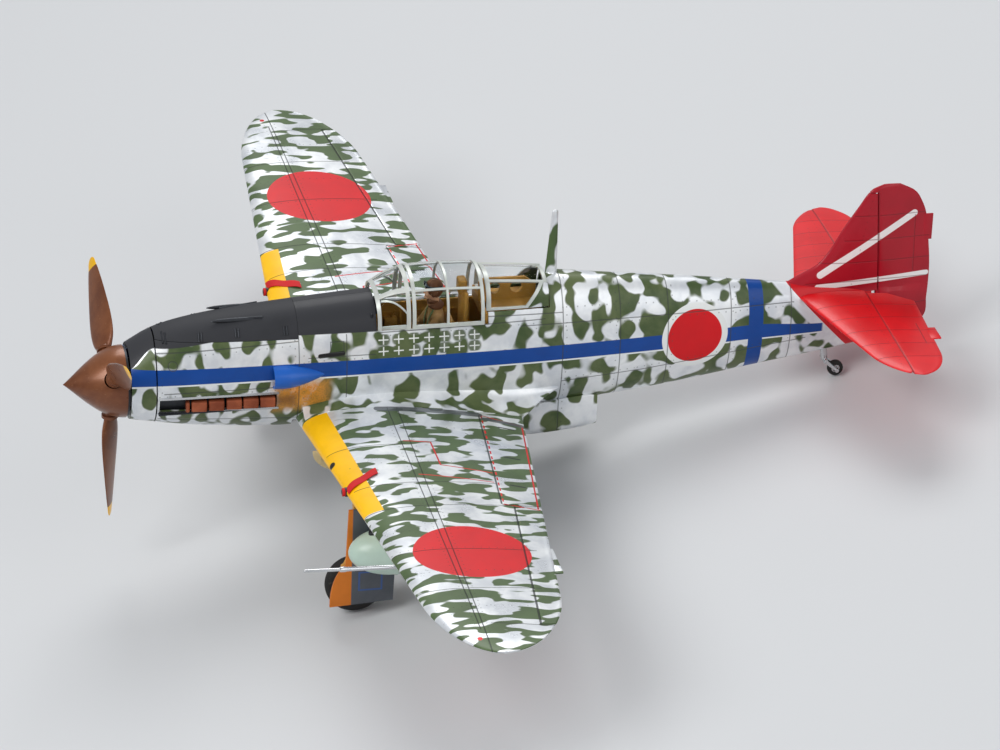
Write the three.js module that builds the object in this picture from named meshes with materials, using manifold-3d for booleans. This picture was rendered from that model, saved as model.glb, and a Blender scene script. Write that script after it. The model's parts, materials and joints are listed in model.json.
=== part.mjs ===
// A 1:48 display model of a single-seat propeller fighter, standing on its three wheels.
// The aircraft is drawn level: x to its port wing tip, y from the nose to the tail, z up,
// with the spinner's tip at the origin. One group then tips it back onto its tail wheel.
import * as THREE from "three";
import { mergeVertices } from "three/addons/utils/BufferGeometryUtils.js";
import Module from "manifold-3d";

const wasm = await Module();
wasm.setup();

// Driving dimensions, in millimetres and degrees
const gap = 0.15; // between glued or sliding neighbours
const shellWall = 1.0;
const stance = 12.2; // nose-up attitude on the ground

const spinnerLength = 12.6;
const spinnerRadius = 7.6;
const propellerRadius = 31.25;
const bladeStation = 9.8;
const bladeClock = 30.5; // first blade, from port towards the top
const shaftRadius = 1.2;

const fuselage = {
  // [distance from the spinner's tip, value]
  top: [[13, 7.9], [18.4, 11.2], [26, 13.3], [37, 14.8], [50, 16], [63.5, 17], [88, 18.7], [101, 19],
    [112, 17.8], [133, 15.5], [155, 12.9], [166, 12.2], [174, 11.6]],
  bottom: [[13, -7.9], [18.4, -8.9], [26, -10.1], [37, -11.2], [50, -11.8], [76, -12], [101, -11],
    [125, -8.9], [147, -5.8], [166, -3], [174, -1.5]],
  width: [[13, 7.9], [18.4, 8.2], [26, 8.45], [50, 8.75], [88, 8.6], [101, 8.2], [125, 6.6],
    [147, 4.4], [166, 2.3], [174, 0.9]],
  belt: [[13, 0], [50, 1.2], [101, 2], [140, 4], [174, 6]],
  square: [[13, 2], [37, 2.25], [101, 2.3], [174, 2]],
  stations: [14.8, 18.4, 23, 29, 37, 48, 60, 76, 88, 101, 112, 127, 143, 158, 168],
};
const noseSeam = 18.5;
const cowlRear = 48;
const cowlEdge = 10.6;
const cockpit = { front: 64.4, rear: 88, back: 101.2, sill: 11.4, deck: 13.8 };

const wing = {
  halfSpan: 125,
  lead: { root: 47.35, slope: 0.0753 },
  trail: { root: 96.24, slope: -0.138 },
  rootHeight: -8.6,
  dihedral: 0.0868,
  rootThickness: 0.158,
  tipThickness: 0.085,
  tipStart: 103,
  tipCentre: 66.5,
  stations: [0.12, 34, 60.5, 103, 112, 119, 123.4, 125],
};
const flap = { inner: [12.4, 85.4], outer: [60.3, 80] };
const aileron = { inner: [60.9, 82.4], outer: [114.6, 75.7] };

const tailplane = { root: 2.6, halfSpan: 40.4, height: 10.1, hinge: 170.6, thickness: 0.085 };
const rudderHinge = { low: [174.9, -0.6], high: [172.9, 33] };

const axle = { x: 42.1, y: 53.9, z: -27.9 };
const wheelRadius = 6.25;
const wheelWidth = 3.6;
const tailWheelRadius = 1.75;
const wheelSides = 24;
const tailAxle = levelWith(166.05, tailWheelRadius);
const tank = { x: 52, y: 50.5, z: -15.4, length: 37, shoulder: 12, radius: 4.9 };

// Where the tail axle lies, so that all the tyres' flats meet one level floor at this stance
function levelWith(y, radius) {
  const lean = THREE.MathUtils.degToRad(stance);
  const flat = (r) => r * Math.cos(Math.PI / wheelSides);
  const drop = (y - axle.y) * Math.sin(lean) - flat(wheelRadius) + flat(radius);
  return { y, z: axle.z + drop / Math.cos(lean) };
}

// A smooth value along the fuselage through [position, value] pairs
function along(pairs, position) {
  const last = pairs.length - 1;
  let i = 0;
  while (i < last - 1 && position > pairs[i + 1][0]) i += 1;
  const slopeAt = (k) => {
    const before = pairs[Math.max(k - 1, 0)];
    const after = pairs[Math.min(k + 1, last)];
    return (after[1] - before[1]) / (after[0] - before[0]);
  };
  const [x0, v0] = pairs[i];
  const [x1, v1] = pairs[i + 1];
  const span = x1 - x0;
  const t = THREE.MathUtils.clamp((position - x0) / span, 0, 1);
  const s = 1 - t;
  return v0 * s * s * (1 + 2 * t) + v1 * t * t * (3 - 2 * t) +
    span * (slopeAt(i) * t * s * s - slopeAt(i + 1) * t * t * s);
}

// Solids and meshes
function solidOf(geometry) {
  const bare = geometry.clone();
  bare.deleteAttribute("normal");
  bare.deleteAttribute("uv");
  const merged = mergeVertices(bare, 1e-4);
  const vertProperties = merged.attributes.position.array;
  const triVerts = new Uint32Array(merged.index.array);
  const solid = new wasm.Manifold(new wasm.Mesh({ numProp: 3, vertProperties, triVerts }));
  if (solid.volume() > 0) return solid;
  triVerts.reverse();
  return new wasm.Manifold(new wasm.Mesh({ numProp: 3, vertProperties, triVerts }));
}

function geometryOf(solid) {
  const { numProp, numVert, vertProperties, triVerts } = solid.getMesh();
  const positions = new Float32Array(numVert * 3);
  for (let i = 0; i < numVert; i += 1) {
    positions.set(vertProperties.subarray(i * numProp, i * numProp + 3), i * 3);
  }
  const geometry = new THREE.BufferGeometry();
  geometry.setAttribute("position", new THREE.BufferAttribute(positions, 3));
  geometry.setIndex(new THREE.BufferAttribute(triVerts, 1));
  return geometry;
}

function joined(...solids) {
  return solids.reduce((all, next) => all.add(next));
}

function largest(solid) {
  return solid.decompose().sort((a, b) => b.volume() - a.volume())[0];
}

// Closed skin through rings of points, capped at both ends; flat gives a point's place in the cap
function loft(rings, flat) {
  const count = rings[0].length;
  const positions = rings.flat().flatMap((p) => [p.x, p.y, p.z]);
  const index = [];
  for (let i = 0; i < rings.length - 1; i += 1) {
    for (let j = 0; j < count; j += 1) {
      const a = i * count + j;
      const b = i * count + (j + 1) % count;
      index.push(a, b, b + count, a, b + count, a + count);
    }
  }
  const addCap = (ring, offset, flip) => {
    const outline = ring.map(flat);
    const turn = Math.sign(THREE.ShapeUtils.area(outline));
    THREE.ShapeUtils.triangulateShape(outline, []).forEach(([a, b, c]) => {
      const same = Math.sign(THREE.ShapeUtils.area([outline[a], outline[b], outline[c]])) === turn;
      const face = same === flip ? [c, b, a] : [a, b, c];
      index.push(...face.map((k) => k + offset));
    });
  };
  addCap(rings[0], 0, true);
  addCap(rings[rings.length - 1], (rings.length - 1) * count, false);
  const geometry = new THREE.BufferGeometry();
  geometry.setAttribute("position", new THREE.Float32BufferAttribute(positions, 3));
  geometry.setIndex(index);
  return solidOf(geometry);
}

const acrossY = (p) => new THREE.Vector2(p.x, p.z);
const acrossX = (p) => new THREE.Vector2(p.y, p.z);
const acrossZ = (p) => new THREE.Vector2(p.x, p.y);
const point = (x, y, z) => new THREE.Vector3(x, y, z);

function box(x0, x1, y0, y1, z0, z1) {
  const geometry = new THREE.BoxGeometry(x1 - x0, y1 - y0, z1 - z0);
  return solidOf(geometry.translate((x0 + x1) / 2, (y0 + y1) / 2, (z0 + z1) / 2));
}

// A round bar, or a cone, from one point to another
function rod(from, to, radius, endRadius = radius, sides = 10) {
  const length = from.distanceTo(to);
  const geometry = new THREE.CylinderGeometry(endRadius, radius, length, sides);
  geometry.translate(0, length / 2, 0);
  const turn = new THREE.Quaternion().setFromUnitVectors(
    point(0, 1, 0), to.clone().sub(from).normalize());
  return solidOf(geometry.applyQuaternion(turn).translate(from.x, from.y, from.z));
}

function ball(centre, rx, ry, rz, sides = 8) {
  const geometry = new THREE.SphereGeometry(1, sides, Math.ceil(sides * 0.7));
  return solidOf(geometry.scale(rx, ry, rz).translate(centre.x, centre.y, centre.z));
}

// A shape turned about the y axis, from [radius, y] pairs
function turned(profile, sides) {
  const points = profile.map(([radius, y]) => new THREE.Vector2(radius, y));
  return solidOf(new THREE.LatheGeometry(points, sides));
}

// The same solid on the other side of the aircraft
function mirrored(solid) {
  return solidOf(geometryOf(solid).scale(-1, 1, 1));
}

// Paints
const paint = (color, roughness, metalness = 0) => () =>
  new THREE.MeshStandardMaterial({ color, roughness, metalness });
const camouflage = paint(0xa9b096, 0.4, 0.5);
const bareMetal = paint(0xd8d9d6, 0.25, 1);
const antiGlare = paint(0x25262a, 0.75);
const propBrown = paint(0x82492c, 0.4);
const tailRed = paint(0xc81f2c, 0.4);
const clearGlass = () => new THREE.MeshStandardMaterial({
  color: 0xdfe6e6, roughness: 0.05, metalness: 0, transparent: true, opacity: 0.35,
});
const cockpitOchre = paint(0x9a7230, 0.6);
const flyingSuit = paint(0x8a6a45, 0.9);
const darkMetal = paint(0x3c3d40, 0.4, 0.8);
const tyreRubber = paint(0x232323, 0.85);
const tankGrey = paint(0xb6cdc0, 0.35);
const exhaustSteel = paint(0x70452f, 0.7, 0.6);
const stripeBlue = paint(0x0f479a, 0.4);

const aircraft = new THREE.Group();
const propeller = new THREE.Group();
propeller.rotation.y = THREE.MathUtils.degToRad(-bladeClock);
aircraft.add(propeller);

function piece(name, solid, material, parent = aircraft) {
  const mesh = new THREE.Mesh(geometryOf(solid), material());
  mesh.name = name;
  parent.add(mesh);
}

// Both sides of a piece that the aircraft has twice
function pair(name, portSolid, material) {
  piece(name + "_left", portSolid, material);
  piece(name + "_right", mirrored(portSolid), material);
}

// Fuselage
function fuselageRing(y, inset) {
  const sides = 24;
  const top = along(fuselage.top, y) - inset;
  const bottom = along(fuselage.bottom, y) + inset;
  const width = along(fuselage.width, y) - inset;
  const belt = along(fuselage.belt, y);
  const power = 2 / along(fuselage.square, y);
  return Array.from({ length: sides }, (_, k) => {
    const angle = (k / sides) * 2 * Math.PI;
    const across = Math.sign(Math.sin(angle)) * Math.abs(Math.sin(angle)) ** power;
    const up = Math.sign(Math.cos(angle)) * Math.abs(Math.cos(angle)) ** power;
    return point(width * across, y, belt + up * (up > 0 ? top - belt : belt - bottom));
  });
}

function fuselageBody(inset, front, rear) {
  const stations = fuselage.stations.filter((y) => y > front && y < rear);
  const rings = [front, ...stations, rear].map((y) => fuselageRing(y, inset));
  return loft(rings, acrossY);
}

const fuselageStart = 13.3;
const fuselageEnd = 173.6;
const outerBody = fuselageBody(0, fuselageStart, fuselageEnd);
const clearedBody = fuselageBody(-gap, fuselageStart - gap, fuselageEnd + gap);
const fuselageShell = outerBody.subtract(fuselageBody(shellWall, fuselageStart + shellWall, 164));

// Wing
function wingAt(x) {
  const tip = THREE.MathUtils.clamp((x - wing.tipStart) / (wing.halfSpan - wing.tipStart), 0, 0.9995);
  const shrink = Math.sqrt(1 - tip * tip);
  const lead = wing.lead.root + wing.lead.slope * x;
  const trail = wing.trail.root + wing.trail.slope * x;
  const ratio = THREE.MathUtils.lerp(wing.rootThickness, wing.tipThickness, x / wing.halfSpan);
  return {
    lead: wing.tipCentre + (lead - wing.tipCentre) * shrink,
    trail: wing.tipCentre + (trail - wing.tipCentre) * shrink,
    height: wing.rootHeight + wing.dihedral * x,
    thick: ratio * (trail - lead) * Math.max(shrink, 0.25),
  };
}

// Half the thickness of a classic aerofoil, as a share of its full thickness
function aerofoil(s) {
  return 5 * (0.2969 * Math.sqrt(s) - 0.126 * s - 0.3516 * s ** 2 + 0.2843 * s ** 3 - 0.1036 * s ** 4);
}

const chordSteps = [0.015, 0.06, 0.15, 0.3, 0.5, 0.72, 1];
const edge = 0.14; // least half thickness of a moulded edge

// A lifting surface through stations along its span; side 1 is the upper half, -1 the lower, 0 both
function foil(stations, at, place, flat, side, grow = 0) {
  const rings = stations.map((span) => {
    const { lead, trail, height, thick } = at(span);
    const chord = trail - lead + 2 * grow;
    const half = (s, share) => share * Math.max(thick * aerofoil(s), edge) + grow;
    const skin = (sign, share) => chordSteps.map((s) =>
      place(span, lead - grow + s * chord, height + sign * half(s, share)));
    const split = height + side * gap / 2;
    const nose = place(span, lead - grow, side ? split : height);
    const upper = skin(1, 1.12);
    const lower = skin(-1, 0.88).reverse();
    if (side > 0) return [nose, ...upper, place(span, trail + grow, split)];
    if (side < 0) return [nose, place(span, trail + grow, split), ...lower];
    return [nose, ...upper, ...lower];
  });
  return loft(rings, flat);
}

const wingPlace = (x, y, z) => point(x, y, z);
const wingSolid = (side, grow) => foil(wing.stations, wingAt, wingPlace, acrossX, side, grow);
const wingWhole = wingSolid(0, 0);
const wingCleared = foil([-0.3, ...wing.stations.slice(1)], wingAt, wingPlace, acrossX, 0, gap);
const wingsCleared = wingCleared.add(mirrored(wingCleared));

// A hinged surface is cut from its wing along a line and given a rounded nose on that line
function hingePoint([x, y]) {
  return point(x, y, wingAt(x).height + 0.12 * wingAt(x).thick * 0.5);
}

function noseRadius([x, y]) {
  const { lead, trail, thick } = wingAt(x);
  return thick * aerofoil((y - lead) / (trail - lead)) * 0.86;
}

function wingRegion(line, inset, back) {
  const [[x0, y0], [x1, y1]] = [line.inner, line.outer];
  const slope = (y1 - y0) / (x1 - x0);
  const outline = [
    [x0 + inset, y0 + slope * inset + back],
    [x1 - inset, y1 - slope * inset + back],
    [x1 - inset, 110],
    [x0 + inset, 110],
  ];
  const rings = [-30, 30].map((z) => outline.map(([x, y]) => point(x, y, z)));
  return loft(rings, acrossZ);
}

function hingedSurface(line) {
  const start = hingePoint(line.inner);
  const end = hingePoint(line.outer);
  const way = end.clone().sub(start).normalize();
  const nose = rod(
    start.clone().addScaledVector(way, 0.35),
    end.clone().addScaledVector(way, -0.35),
    noseRadius(line.inner), noseRadius(line.outer), 12);
  const blade = wingWhole.intersect(wingRegion(line, 0.35, 0));
  const roomAround = (space) =>
    rod(start, end, noseRadius(line.inner) + space, noseRadius(line.outer) + space, 12);
  return {
    surface: largest(blade.add(nose)),
    room: roomAround(0.4).add(wingRegion(line, 0, 0)),
    lowerRoom: roomAround(0.95), // the lower edge swings forward as the surface drops
  };
}

const flapParts = hingedSurface(flap);
const aileronParts = hingedSurface(aileron);

function gunBore(radius, front, back) {
  const x = 46;
  const { lead, height } = wingAt(x);
  return rod(point(x, lead - front, height), point(x, lead + back, height), radius, radius, 8);
}

function wheelBay() {
  const well = rod(point(22.5, 57.5, -20), point(22.5, 57.5, wingAt(22).height + 0.4), 7.2, 7.2, 16);
  const legSlot = box(22, 46.9, 51.8, 56.2, -20, wingAt(34).height + 0.4);
  return well.add(legSlot);
}

function buildWings() {
  const cuts = joined(flapParts.room, aileronParts.room, gunBore(0.8, 3, 6));
  pair("wing_upper", largest(wingSolid(1, 0).subtract(cuts)), camouflage);
  const lower = wingSolid(-1, 0).subtract(cuts).subtract(flapParts.lowerRoom).subtract(wheelBay());
  pair("wing_lower", largest(lower), bareMetal);
  pair("flap", flapParts.surface, camouflage);
  pair("aileron", aileronParts.surface, camouflage);
  const bore = rod(point(46, wingAt(46).lead - 1.4, wingAt(46).height),
    point(46, wingAt(46).lead - 2.4, wingAt(46).height), 0.3, 0.3, 8);
  pair("wing_gun", gunBore(0.6, 1.6, 5).subtract(bore), darkMetal);
}

function buildPitot() {
  const x = 82;
  const { lead, height } = wingAt(x);
  const start = point(x, lead - 0.25, height);
  const step = point(x, lead - 10.5, height - 0.5);
  const tip = point(x, lead - 17.8, height - 0.6);
  const collar = rod(step, point(x, lead - 9.5, height - 0.47), 0.55, 0.55, 10);
  piece("pitot_tube", joined(rod(start, step, 0.45, 0.45, 10), rod(step, tip, 0.34, 0.34, 10), collar),
    bareMetal);
}

// Fillets between the wing roots and the fuselage
function buildFillets() {
  const sections = [[50, -4.6, 9.8], [62, -2.4, 10.6], [76, -2, 11.4], [90, -3.6, 12], [97, -5, 12.1],
    [104.5, -6.4, 8.6]];
  const rings = sections.map(([y, high, out]) => {
    const low = Math.min(wingAt(out).height, -8.2);
    return [point(6.4, y, high), point(8.6, y, high - 0.4), point(out, y, (high + 2 * low) / 3 + 0.6),
      point(out, y, low - 1.2), point(6.4, y, low - 1.6)];
  });
  const fairing = loft(rings, acrossY).subtract(clearedBody).subtract(wingsCleared);
  pair("wing_fillet", largest(fairing.subtract(wingRegion(flap, -0.4, -3))), camouflage);
}

// Fuselage shells, engine cowl and nose ring
function exhaustSlot(grow) {
  return box(5, 12, 19.8 - grow, 43.4 + grow, -4.6 - grow, -1.4 + grow);
}

function buildFuselage() {
  const opening = joined(
    box(-12, 12, cockpit.front, cockpit.rear, cockpit.sill, 30),
    box(-12, 12, cockpit.rear - 0.5, cockpit.back, cockpit.deck, 30));
  const underWing = box(-12, 12, 47.1, 96.6, -20, -8.4);
  const slots = exhaustSlot(0).add(mirrored(exhaustSlot(0)));
  const tailStrut = rod(point(0, 162.9, -8), point(0, 162.9, 1.5), 1.5, 1.5, 12);
  const cowlRegion = box(-12, 12, noseSeam + gap, cowlRear, cowlEdge, 30);
  const mastHole = box(-0.8, 0.8, 100.9, 104.4, 15, 30);
  const shell = fuselageShell
    .subtract(opening)
    .subtract(underWing)
    .subtract(wingsCleared)
    .subtract(slots)
    .subtract(tailStrut)
    .subtract(mastHole)
    .subtract(rudderNose(0.45))
    .subtract(box(-12, 12, 0, noseSeam, -20, 20));
  const sideRegion = box(gap / 2, 20, 0, 200, -40, 40);
  const side = shell.subtract(box(-12, 12, 0, cowlRear + gap, cowlEdge - gap, 30)).intersect(sideRegion);
  pair("fuselage", largest(side), camouflage);
  piece("engine_cowl", largest(fuselageShell.intersect(cowlRegion)), antiGlare);
  const shaftHole = rod(point(0, 10, 0), point(0, 25, 0), shaftRadius + 0.4, shaftRadius + 0.4, 12);
  const ring = fuselageShell.intersect(box(-12, 12, 0, noseSeam - gap, -20, 20));
  piece("nose_ring", ring.subtract(shaftHole), bareMetal);
}

function buildExhausts() {
  const stub = (k) => {
    const y = 22.4 + k * 3.7;
    return rod(point(6.4, y - 0.6, -2.95), point(8.75, y + 0.9, -3.1), 1.15, 1.15, 10);
  };
  const stubs = Array.from({ length: 6 }, (_, k) => stub(k));
  const slotFill = exhaustSlot(-0.2);
  const plate = box(5.9, 6.8, 20.1, 43.1, -4.3, -1.7);
  const row = joined(plate, ...stubs).intersect(slotFill);
  pair("exhaust_stubs", largest(row), exhaustSteel);
}

function buildIntake() {
  const scoop = (y0, inset) => [[y0, 1], [46, 1], [50, 0.66], [53.6, 0.12]].map(([y, size]) => {
    const rise = Math.max(2.9 * size - inset, 0.05);
    const half = Math.max(2.5 * size - inset, 0.05);
    return Array.from({ length: 10 }, (_, k) => {
      const angle = (k / 10) * 2 * Math.PI;
      return point(8.3 + rise * Math.cos(angle), y, 2.4 + half * Math.sin(angle));
    });
  });
  const mouth = loft(scoop(42, 0.5).slice(0, 2), acrossY);
  const shape = loft(scoop(42.5, 0), acrossY).subtract(mouth).subtract(clearedBody);
  piece("supercharger_intake", largest(shape), stripeBlue);
}

// Propeller, drawn with its first blade along +x and turned by its group
function bladeSolid() {
  // radius, half chord, thickness and pitch
  const cuts = [[7.4, 1.5, 1.6, 42], [10.5, 2.9, 1.3, 40], [15, 3.4, 0.85, 35], [21, 3, 0.6, 30], [27, 2.1, 0.45, 26],
    [30, 1.2, 0.35, 24], [propellerRadius, 0.4, 0.25, 23]];
  const rings = cuts.map(([radius, half, thick, pitch]) => {
    const twist = THREE.MathUtils.degToRad(-pitch);
    return Array.from({ length: 8 }, (_, k) => {
      const angle = (k / 8) * 2 * Math.PI;
      const chord = half * Math.cos(angle);
      const through = thick * 0.5 * Math.sin(angle);
      return point(radius, bladeStation + chord * Math.sin(twist) + through * Math.cos(twist),
        chord * Math.cos(twist) - through * Math.sin(twist));
    });
  });
  const shank = rod(point(4.4, bladeStation, 0), point(8.6, bladeStation, 0), 1.35, 1.35, 10);
  return loft(rings, acrossX).add(shank);
}

function aboutShaft(solid, degrees) {
  return solidOf(geometryOf(solid).rotateY(THREE.MathUtils.degToRad(-degrees)));
}

function buildPropeller() {
  const ogive = Array.from({ length: 8 }, (_, k) => {
    const t = (k / 7) ** 1.3;
    return [spinnerRadius * Math.sin(t * Math.PI / 2) ** 0.8, spinnerLength * t];
  });
  const dome = turned([...ogive, [0, spinnerLength]], 24);
  const socket = rod(point(3.9, bladeStation, 0), point(12, bladeStation, 0), 1.9, 1.9, 12);
  const sockets = [0, 120, 240].map((turn) => aboutShaft(socket, turn));
  piece("spinner", dome.subtract(joined(...sockets)), propBrown, propeller);
  const plate = rod(point(0, spinnerLength + gap, 0), point(0, spinnerLength + 0.5, 0), 7.3, 7.3, 24);
  const shaft = rod(point(0, spinnerLength + 0.3, 0), point(0, 24, 0), shaftRadius, shaftRadius, 12);
  piece("propeller_shaft", plate.add(shaft), darkMetal, propeller);
  [0, 120, 240].forEach((turn, k) => {
    piece("propeller_blade_" + (k + 1), aboutShaft(bladeSolid(), turn), propBrown, propeller);
  });
}

// Canopy: an arch of glass on the cockpit sill
function archRing(y, half, sill, top, wall) {
  const steps = 10;
  const arc = (inset) => Array.from({ length: steps + 1 }, (_, k) => {
    const angle = (k / steps) * Math.PI;
    const across = Math.sign(Math.cos(angle)) * Math.abs(Math.cos(angle)) ** 0.83;
    return point((half - inset) * across, y, sill + (top - inset - sill) * Math.sin(angle) ** 0.83);
  });
  return [...arc(0), ...arc(wall).reverse()];
}

function buildCanopy() {
  const wall = 0.5;
  const { front, rear, back, sill, deck } = cockpit;
  const foot = sill + gap;
  const screen = [
    archRing(front + gap, 7.15, foot, 17.7, wall),
    archRing(68, 7.5, foot, 19.9, wall),
    archRing(71.4, 7.75, foot, 21.35, wall),
  ];
  piece("windscreen", loft(screen, acrossY), clearGlass);
  const hood = [
    archRing(71.7, 8.2, foot + 0.1, 21.75, wall),
    archRing(79, 8.25, foot + 0.1, 21.9, wall),
    archRing(rear - 1, 8.2, foot + 0.1, 21.5, wall),
  ];
  piece("sliding_canopy", loft(hood, acrossY), clearGlass);
  const rearGlass = [
    archRing(rear - 0.4, 6.5, deck + gap, 20.6, wall),
    archRing(95, 6.35, deck + gap, 20, wall),
    archRing(back - gap, 6.1, deck + gap, 19.3, wall),
  ];
  piece("rear_canopy", loft(rearGlass, acrossY), clearGlass);
}

function buildCockpit() {
  const floorTop = -1.4;
  piece("cockpit_floor", box(-6.4, 6.4, 58, 100, floorTop - 1, floorTop), cockpitOchre);
  const pan = box(-3.4, 3.4, 74.4, 81.6, 1.4, 2.2);
  const backRest = box(-3.4, 3.4, 80.8, 81.6, 2, 10.5);
  const cheeks = joined(box(-3.4, -2.8, 75.2, 81.6, 2, 5.4), box(2.8, 3.4, 75.2, 81.6, 2, 5.4));
  const legs = joined(box(-3, -2.2, 75, 81, floorTop + gap, 1.6), box(2.2, 3, 75, 81, floorTop + gap, 1.6));
  piece("pilot_seat", joined(pan, backRest, cheeks, legs), cockpitOchre);
  const armour = joined(box(-3.1, 3.1, 83.6, 84.6, floorTop + gap, 16.4), box(-1.5, 1.5, 82.6, 83.8, 15.5, 18.8),
    box(-1.5, 1.5, 83.6, 84.6, 16, 18.8));
  piece("head_armour", armour, cockpitOchre);
  const innerBody = fuselageBody(shellWall + gap, 20, 160);
  const panel = joined(box(-6, 6, 63.2, 63.8, 5.6, 14.6), box(-1.2, 1.2, 62, 66.4, 12.2, 14.4))
    .intersect(innerBody);
  const brackets = joined(box(-6, -5.2, 62.2, 63.5, floorTop + gap, 6), box(5.2, 6, 62.2, 63.5, floorTop + gap, 6));
  piece("instrument_panel", joined(panel, brackets), darkMetal);
  const stick = joined(rod(point(0, 70.5, floorTop + gap), point(0, 71.6, 5.2), 0.45, 0.35, 8),
    ball(point(0, 71.7, 5.6), 0.55, 0.55, 0.9, 8), box(-0.9, 0.9, 69.6, 71.4, floorTop + gap, floorTop + 0.8));
  piece("control_stick", stick, darkMetal);
  const shelf = box(-5, 5, 88.6, 99.6, 12.7, 13.5);
  const posts = joined(box(-4.6, -3.8, 96, 99, floorTop + gap, 13), box(3.8, 4.6, 96, 99, floorTop + gap, 13));
  const holes = [90.6, 95.2].map((y) => rod(point(-2, y, 16.4), point(2, y, 16.4), 1.25, 1.25, 12));
  const web = box(-0.35, 0.35, 87.2, 99.4, 13.3, 18.4).subtract(joined(...holes));
  piece("rear_deck", joined(shelf, posts, web), cockpitOchre);
}

function buildPilot() {
  const body = ball(point(0, 78.4, 8.4), 3, 2, 5.2);
  const hips = ball(point(0, 77.6, 4.1), 2.5, 2.3, 1.7);
  const head = ball(point(0, 77.6, 16.7), 1.75, 2.1, 2.35, 10);
  const limbs = [-1, 1].flatMap((side) => [
    rod(point(side * 1.5, 77, 4.2), point(side * 1.9, 70.6, 5.6), 1.25, 1, 6),
    rod(point(side * 1.9, 70.9, 5.8), point(side * 2, 69, -0.9), 1, 0.7, 6),
    rod(point(side * 2.6, 78.2, 11.2), point(side * 3.4, 75.6, 7.4), 1, 0.85, 6),
    rod(point(side * 3.4, 75.8, 7.6), point(side * 1.9, 72.6, 7), 0.85, 0.65, 6),
  ]);
  const neck = rod(point(0, 78.2, 12), point(0, 77.8, 15.5), 1.2, 1.1, 8);
  piece("pilot_figure", joined(body, hips, head, neck, ...limbs), flyingSuit);
}

function buildMast() {
  const rings = [[17.6, 1.35, 0.6], [24, 1.05, 0.5], [33.2, 0.62, 0.34]].map(([z, half, thick]) => {
    const centre = 102.6 + (z - 19) * 0.03;
    return Array.from({ length: 8 }, (_, k) => {
      const angle = (k / 8) * 2 * Math.PI;
      return point(thick * Math.sin(angle), centre + half * Math.cos(angle), z);
    });
  });
  piece("antenna_mast", loft(rings, acrossZ), camouflage);
}

// Radiator under the belly: an open duct with the core inside
function radiatorRing([y, half, low, high], inset) {
  const corner = 1.6;
  const w = half - inset;
  const z = low + inset;
  return [point(w, y, high), point(w, y, z + corner), point(w - corner * 0.3, y, z + corner * 0.3),
    point(w - corner, y, z), point(corner - w, y, z), point(corner * 0.3 - w, y, z + corner * 0.3),
    point(-w, y, z + corner), point(-w, y, high)];
}

function buildRadiator() {
  const sections = [[84.5, 5.3, -15.2, -9], [90, 5.9, -16.4, -9], [99, 6, -16.7, -9], [107, 5.8, -16.2, -8],
    [112.6, 5.5, -15.4, -8]];
  const outer = loft(sections.map((s) => radiatorRing(s, 0)), acrossY);
  const duct = sections.map((s) => [...s]);
  duct[0][0] -= 1;
  duct[4][0] += 1;
  const inner = loft(duct.map(([y, half, low]) => radiatorRing([y, half, low, -12.6], 0.7)), acrossY);
  const housing = outer.subtract(inner).subtract(clearedBody).subtract(wingsCleared)
    .subtract(box(-12, 12, 40, 96.8, -12.1, 0));
  piece("radiator_housing", largest(housing), camouflage);
  piece("radiator_core", box(-4.6, 4.6, 95, 98, -15.4, -12.9), darkMetal);
}

// Tail surfaces
function tailplaneAt(x) {
  const tipStart = 31;
  const tip = THREE.MathUtils.clamp((x - tipStart) / (tailplane.halfSpan - tipStart), 0, 0.9995);
  const shrink = Math.sqrt(1 - tip * tip);
  const centre = 172.6;
  const lead = 155.8 + 0.265 * x;
  const trail = 180.7 - 0.058 * x;
  return {
    lead: centre + (lead - centre) * shrink,
    trail: centre + (trail - centre) * shrink,
    height: tailplane.height,
    thick: tailplane.thickness * (trail - lead) * Math.max(shrink, 0.3),
  };
}

const hingeNose = 0.75;

function buildTailplanes() {
  const stations = [tailplane.root, 31, 36.5, 39.5, tailplane.halfSpan];
  const whole = foil(stations, tailplaneAt, wingPlace, acrossX, 0);
  const { hinge, height } = tailplane;
  const nose = (grow, start, end) => rod(point(start, hinge, height), point(end, hinge, height),
    hingeNose + grow, hingeNose * 0.72 + grow, 12);
  const behind = box(0, 60, hinge, 200, -5, 30);
  const rootCut = loft([-5, 30].map((z) => [point(-1, 165, z), point(3.6, 165, z), point(3.6, 175, z),
    point(8.4, 182, z), point(-1, 182, z)]), acrossZ);
  const blade = whole.intersect(behind).add(nose(0, 4, 36)).subtract(rootCut);
  const fixed = whole.subtract(behind).subtract(nose(0.35, 0, 60)).subtract(clearedBody);
  pair("tailplane", largest(fixed), tailRed);
  pair("elevator", largest(blade), tailRed);
}

const finLead = [[-0.8, 174], [10, 150.5], [13.6, 155.1], [17, 160.9], [25.2, 166], [29.6, 168.8], [33.3, 171.4],
  [34.5, 174]];
const finTrail = [[-0.8, 179], [2.5, 184.6], [7.4, 185.2], [14.7, 185.3], [20.7, 184.7], [27.3, 183.7],
  [30.5, 182.4], [32.7, 180.8], [34.5, 177.4]];

function finAt(z) {
  const lead = z < 10 ? 172 : along(finLead, z);
  const trail = along(finTrail, z);
  return { lead, trail, height: 0, thick: THREE.MathUtils.lerp(2.9, 1.1, THREE.MathUtils.clamp(z / 34, 0, 1)) };
}

function rudderNose(grow) {
  const low = point(0, ...rudderHinge.low);
  const high = point(0, ...rudderHinge.high);
  return rod(low, high, 0.95 + grow, 0.6 + grow, 12);
}

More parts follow.
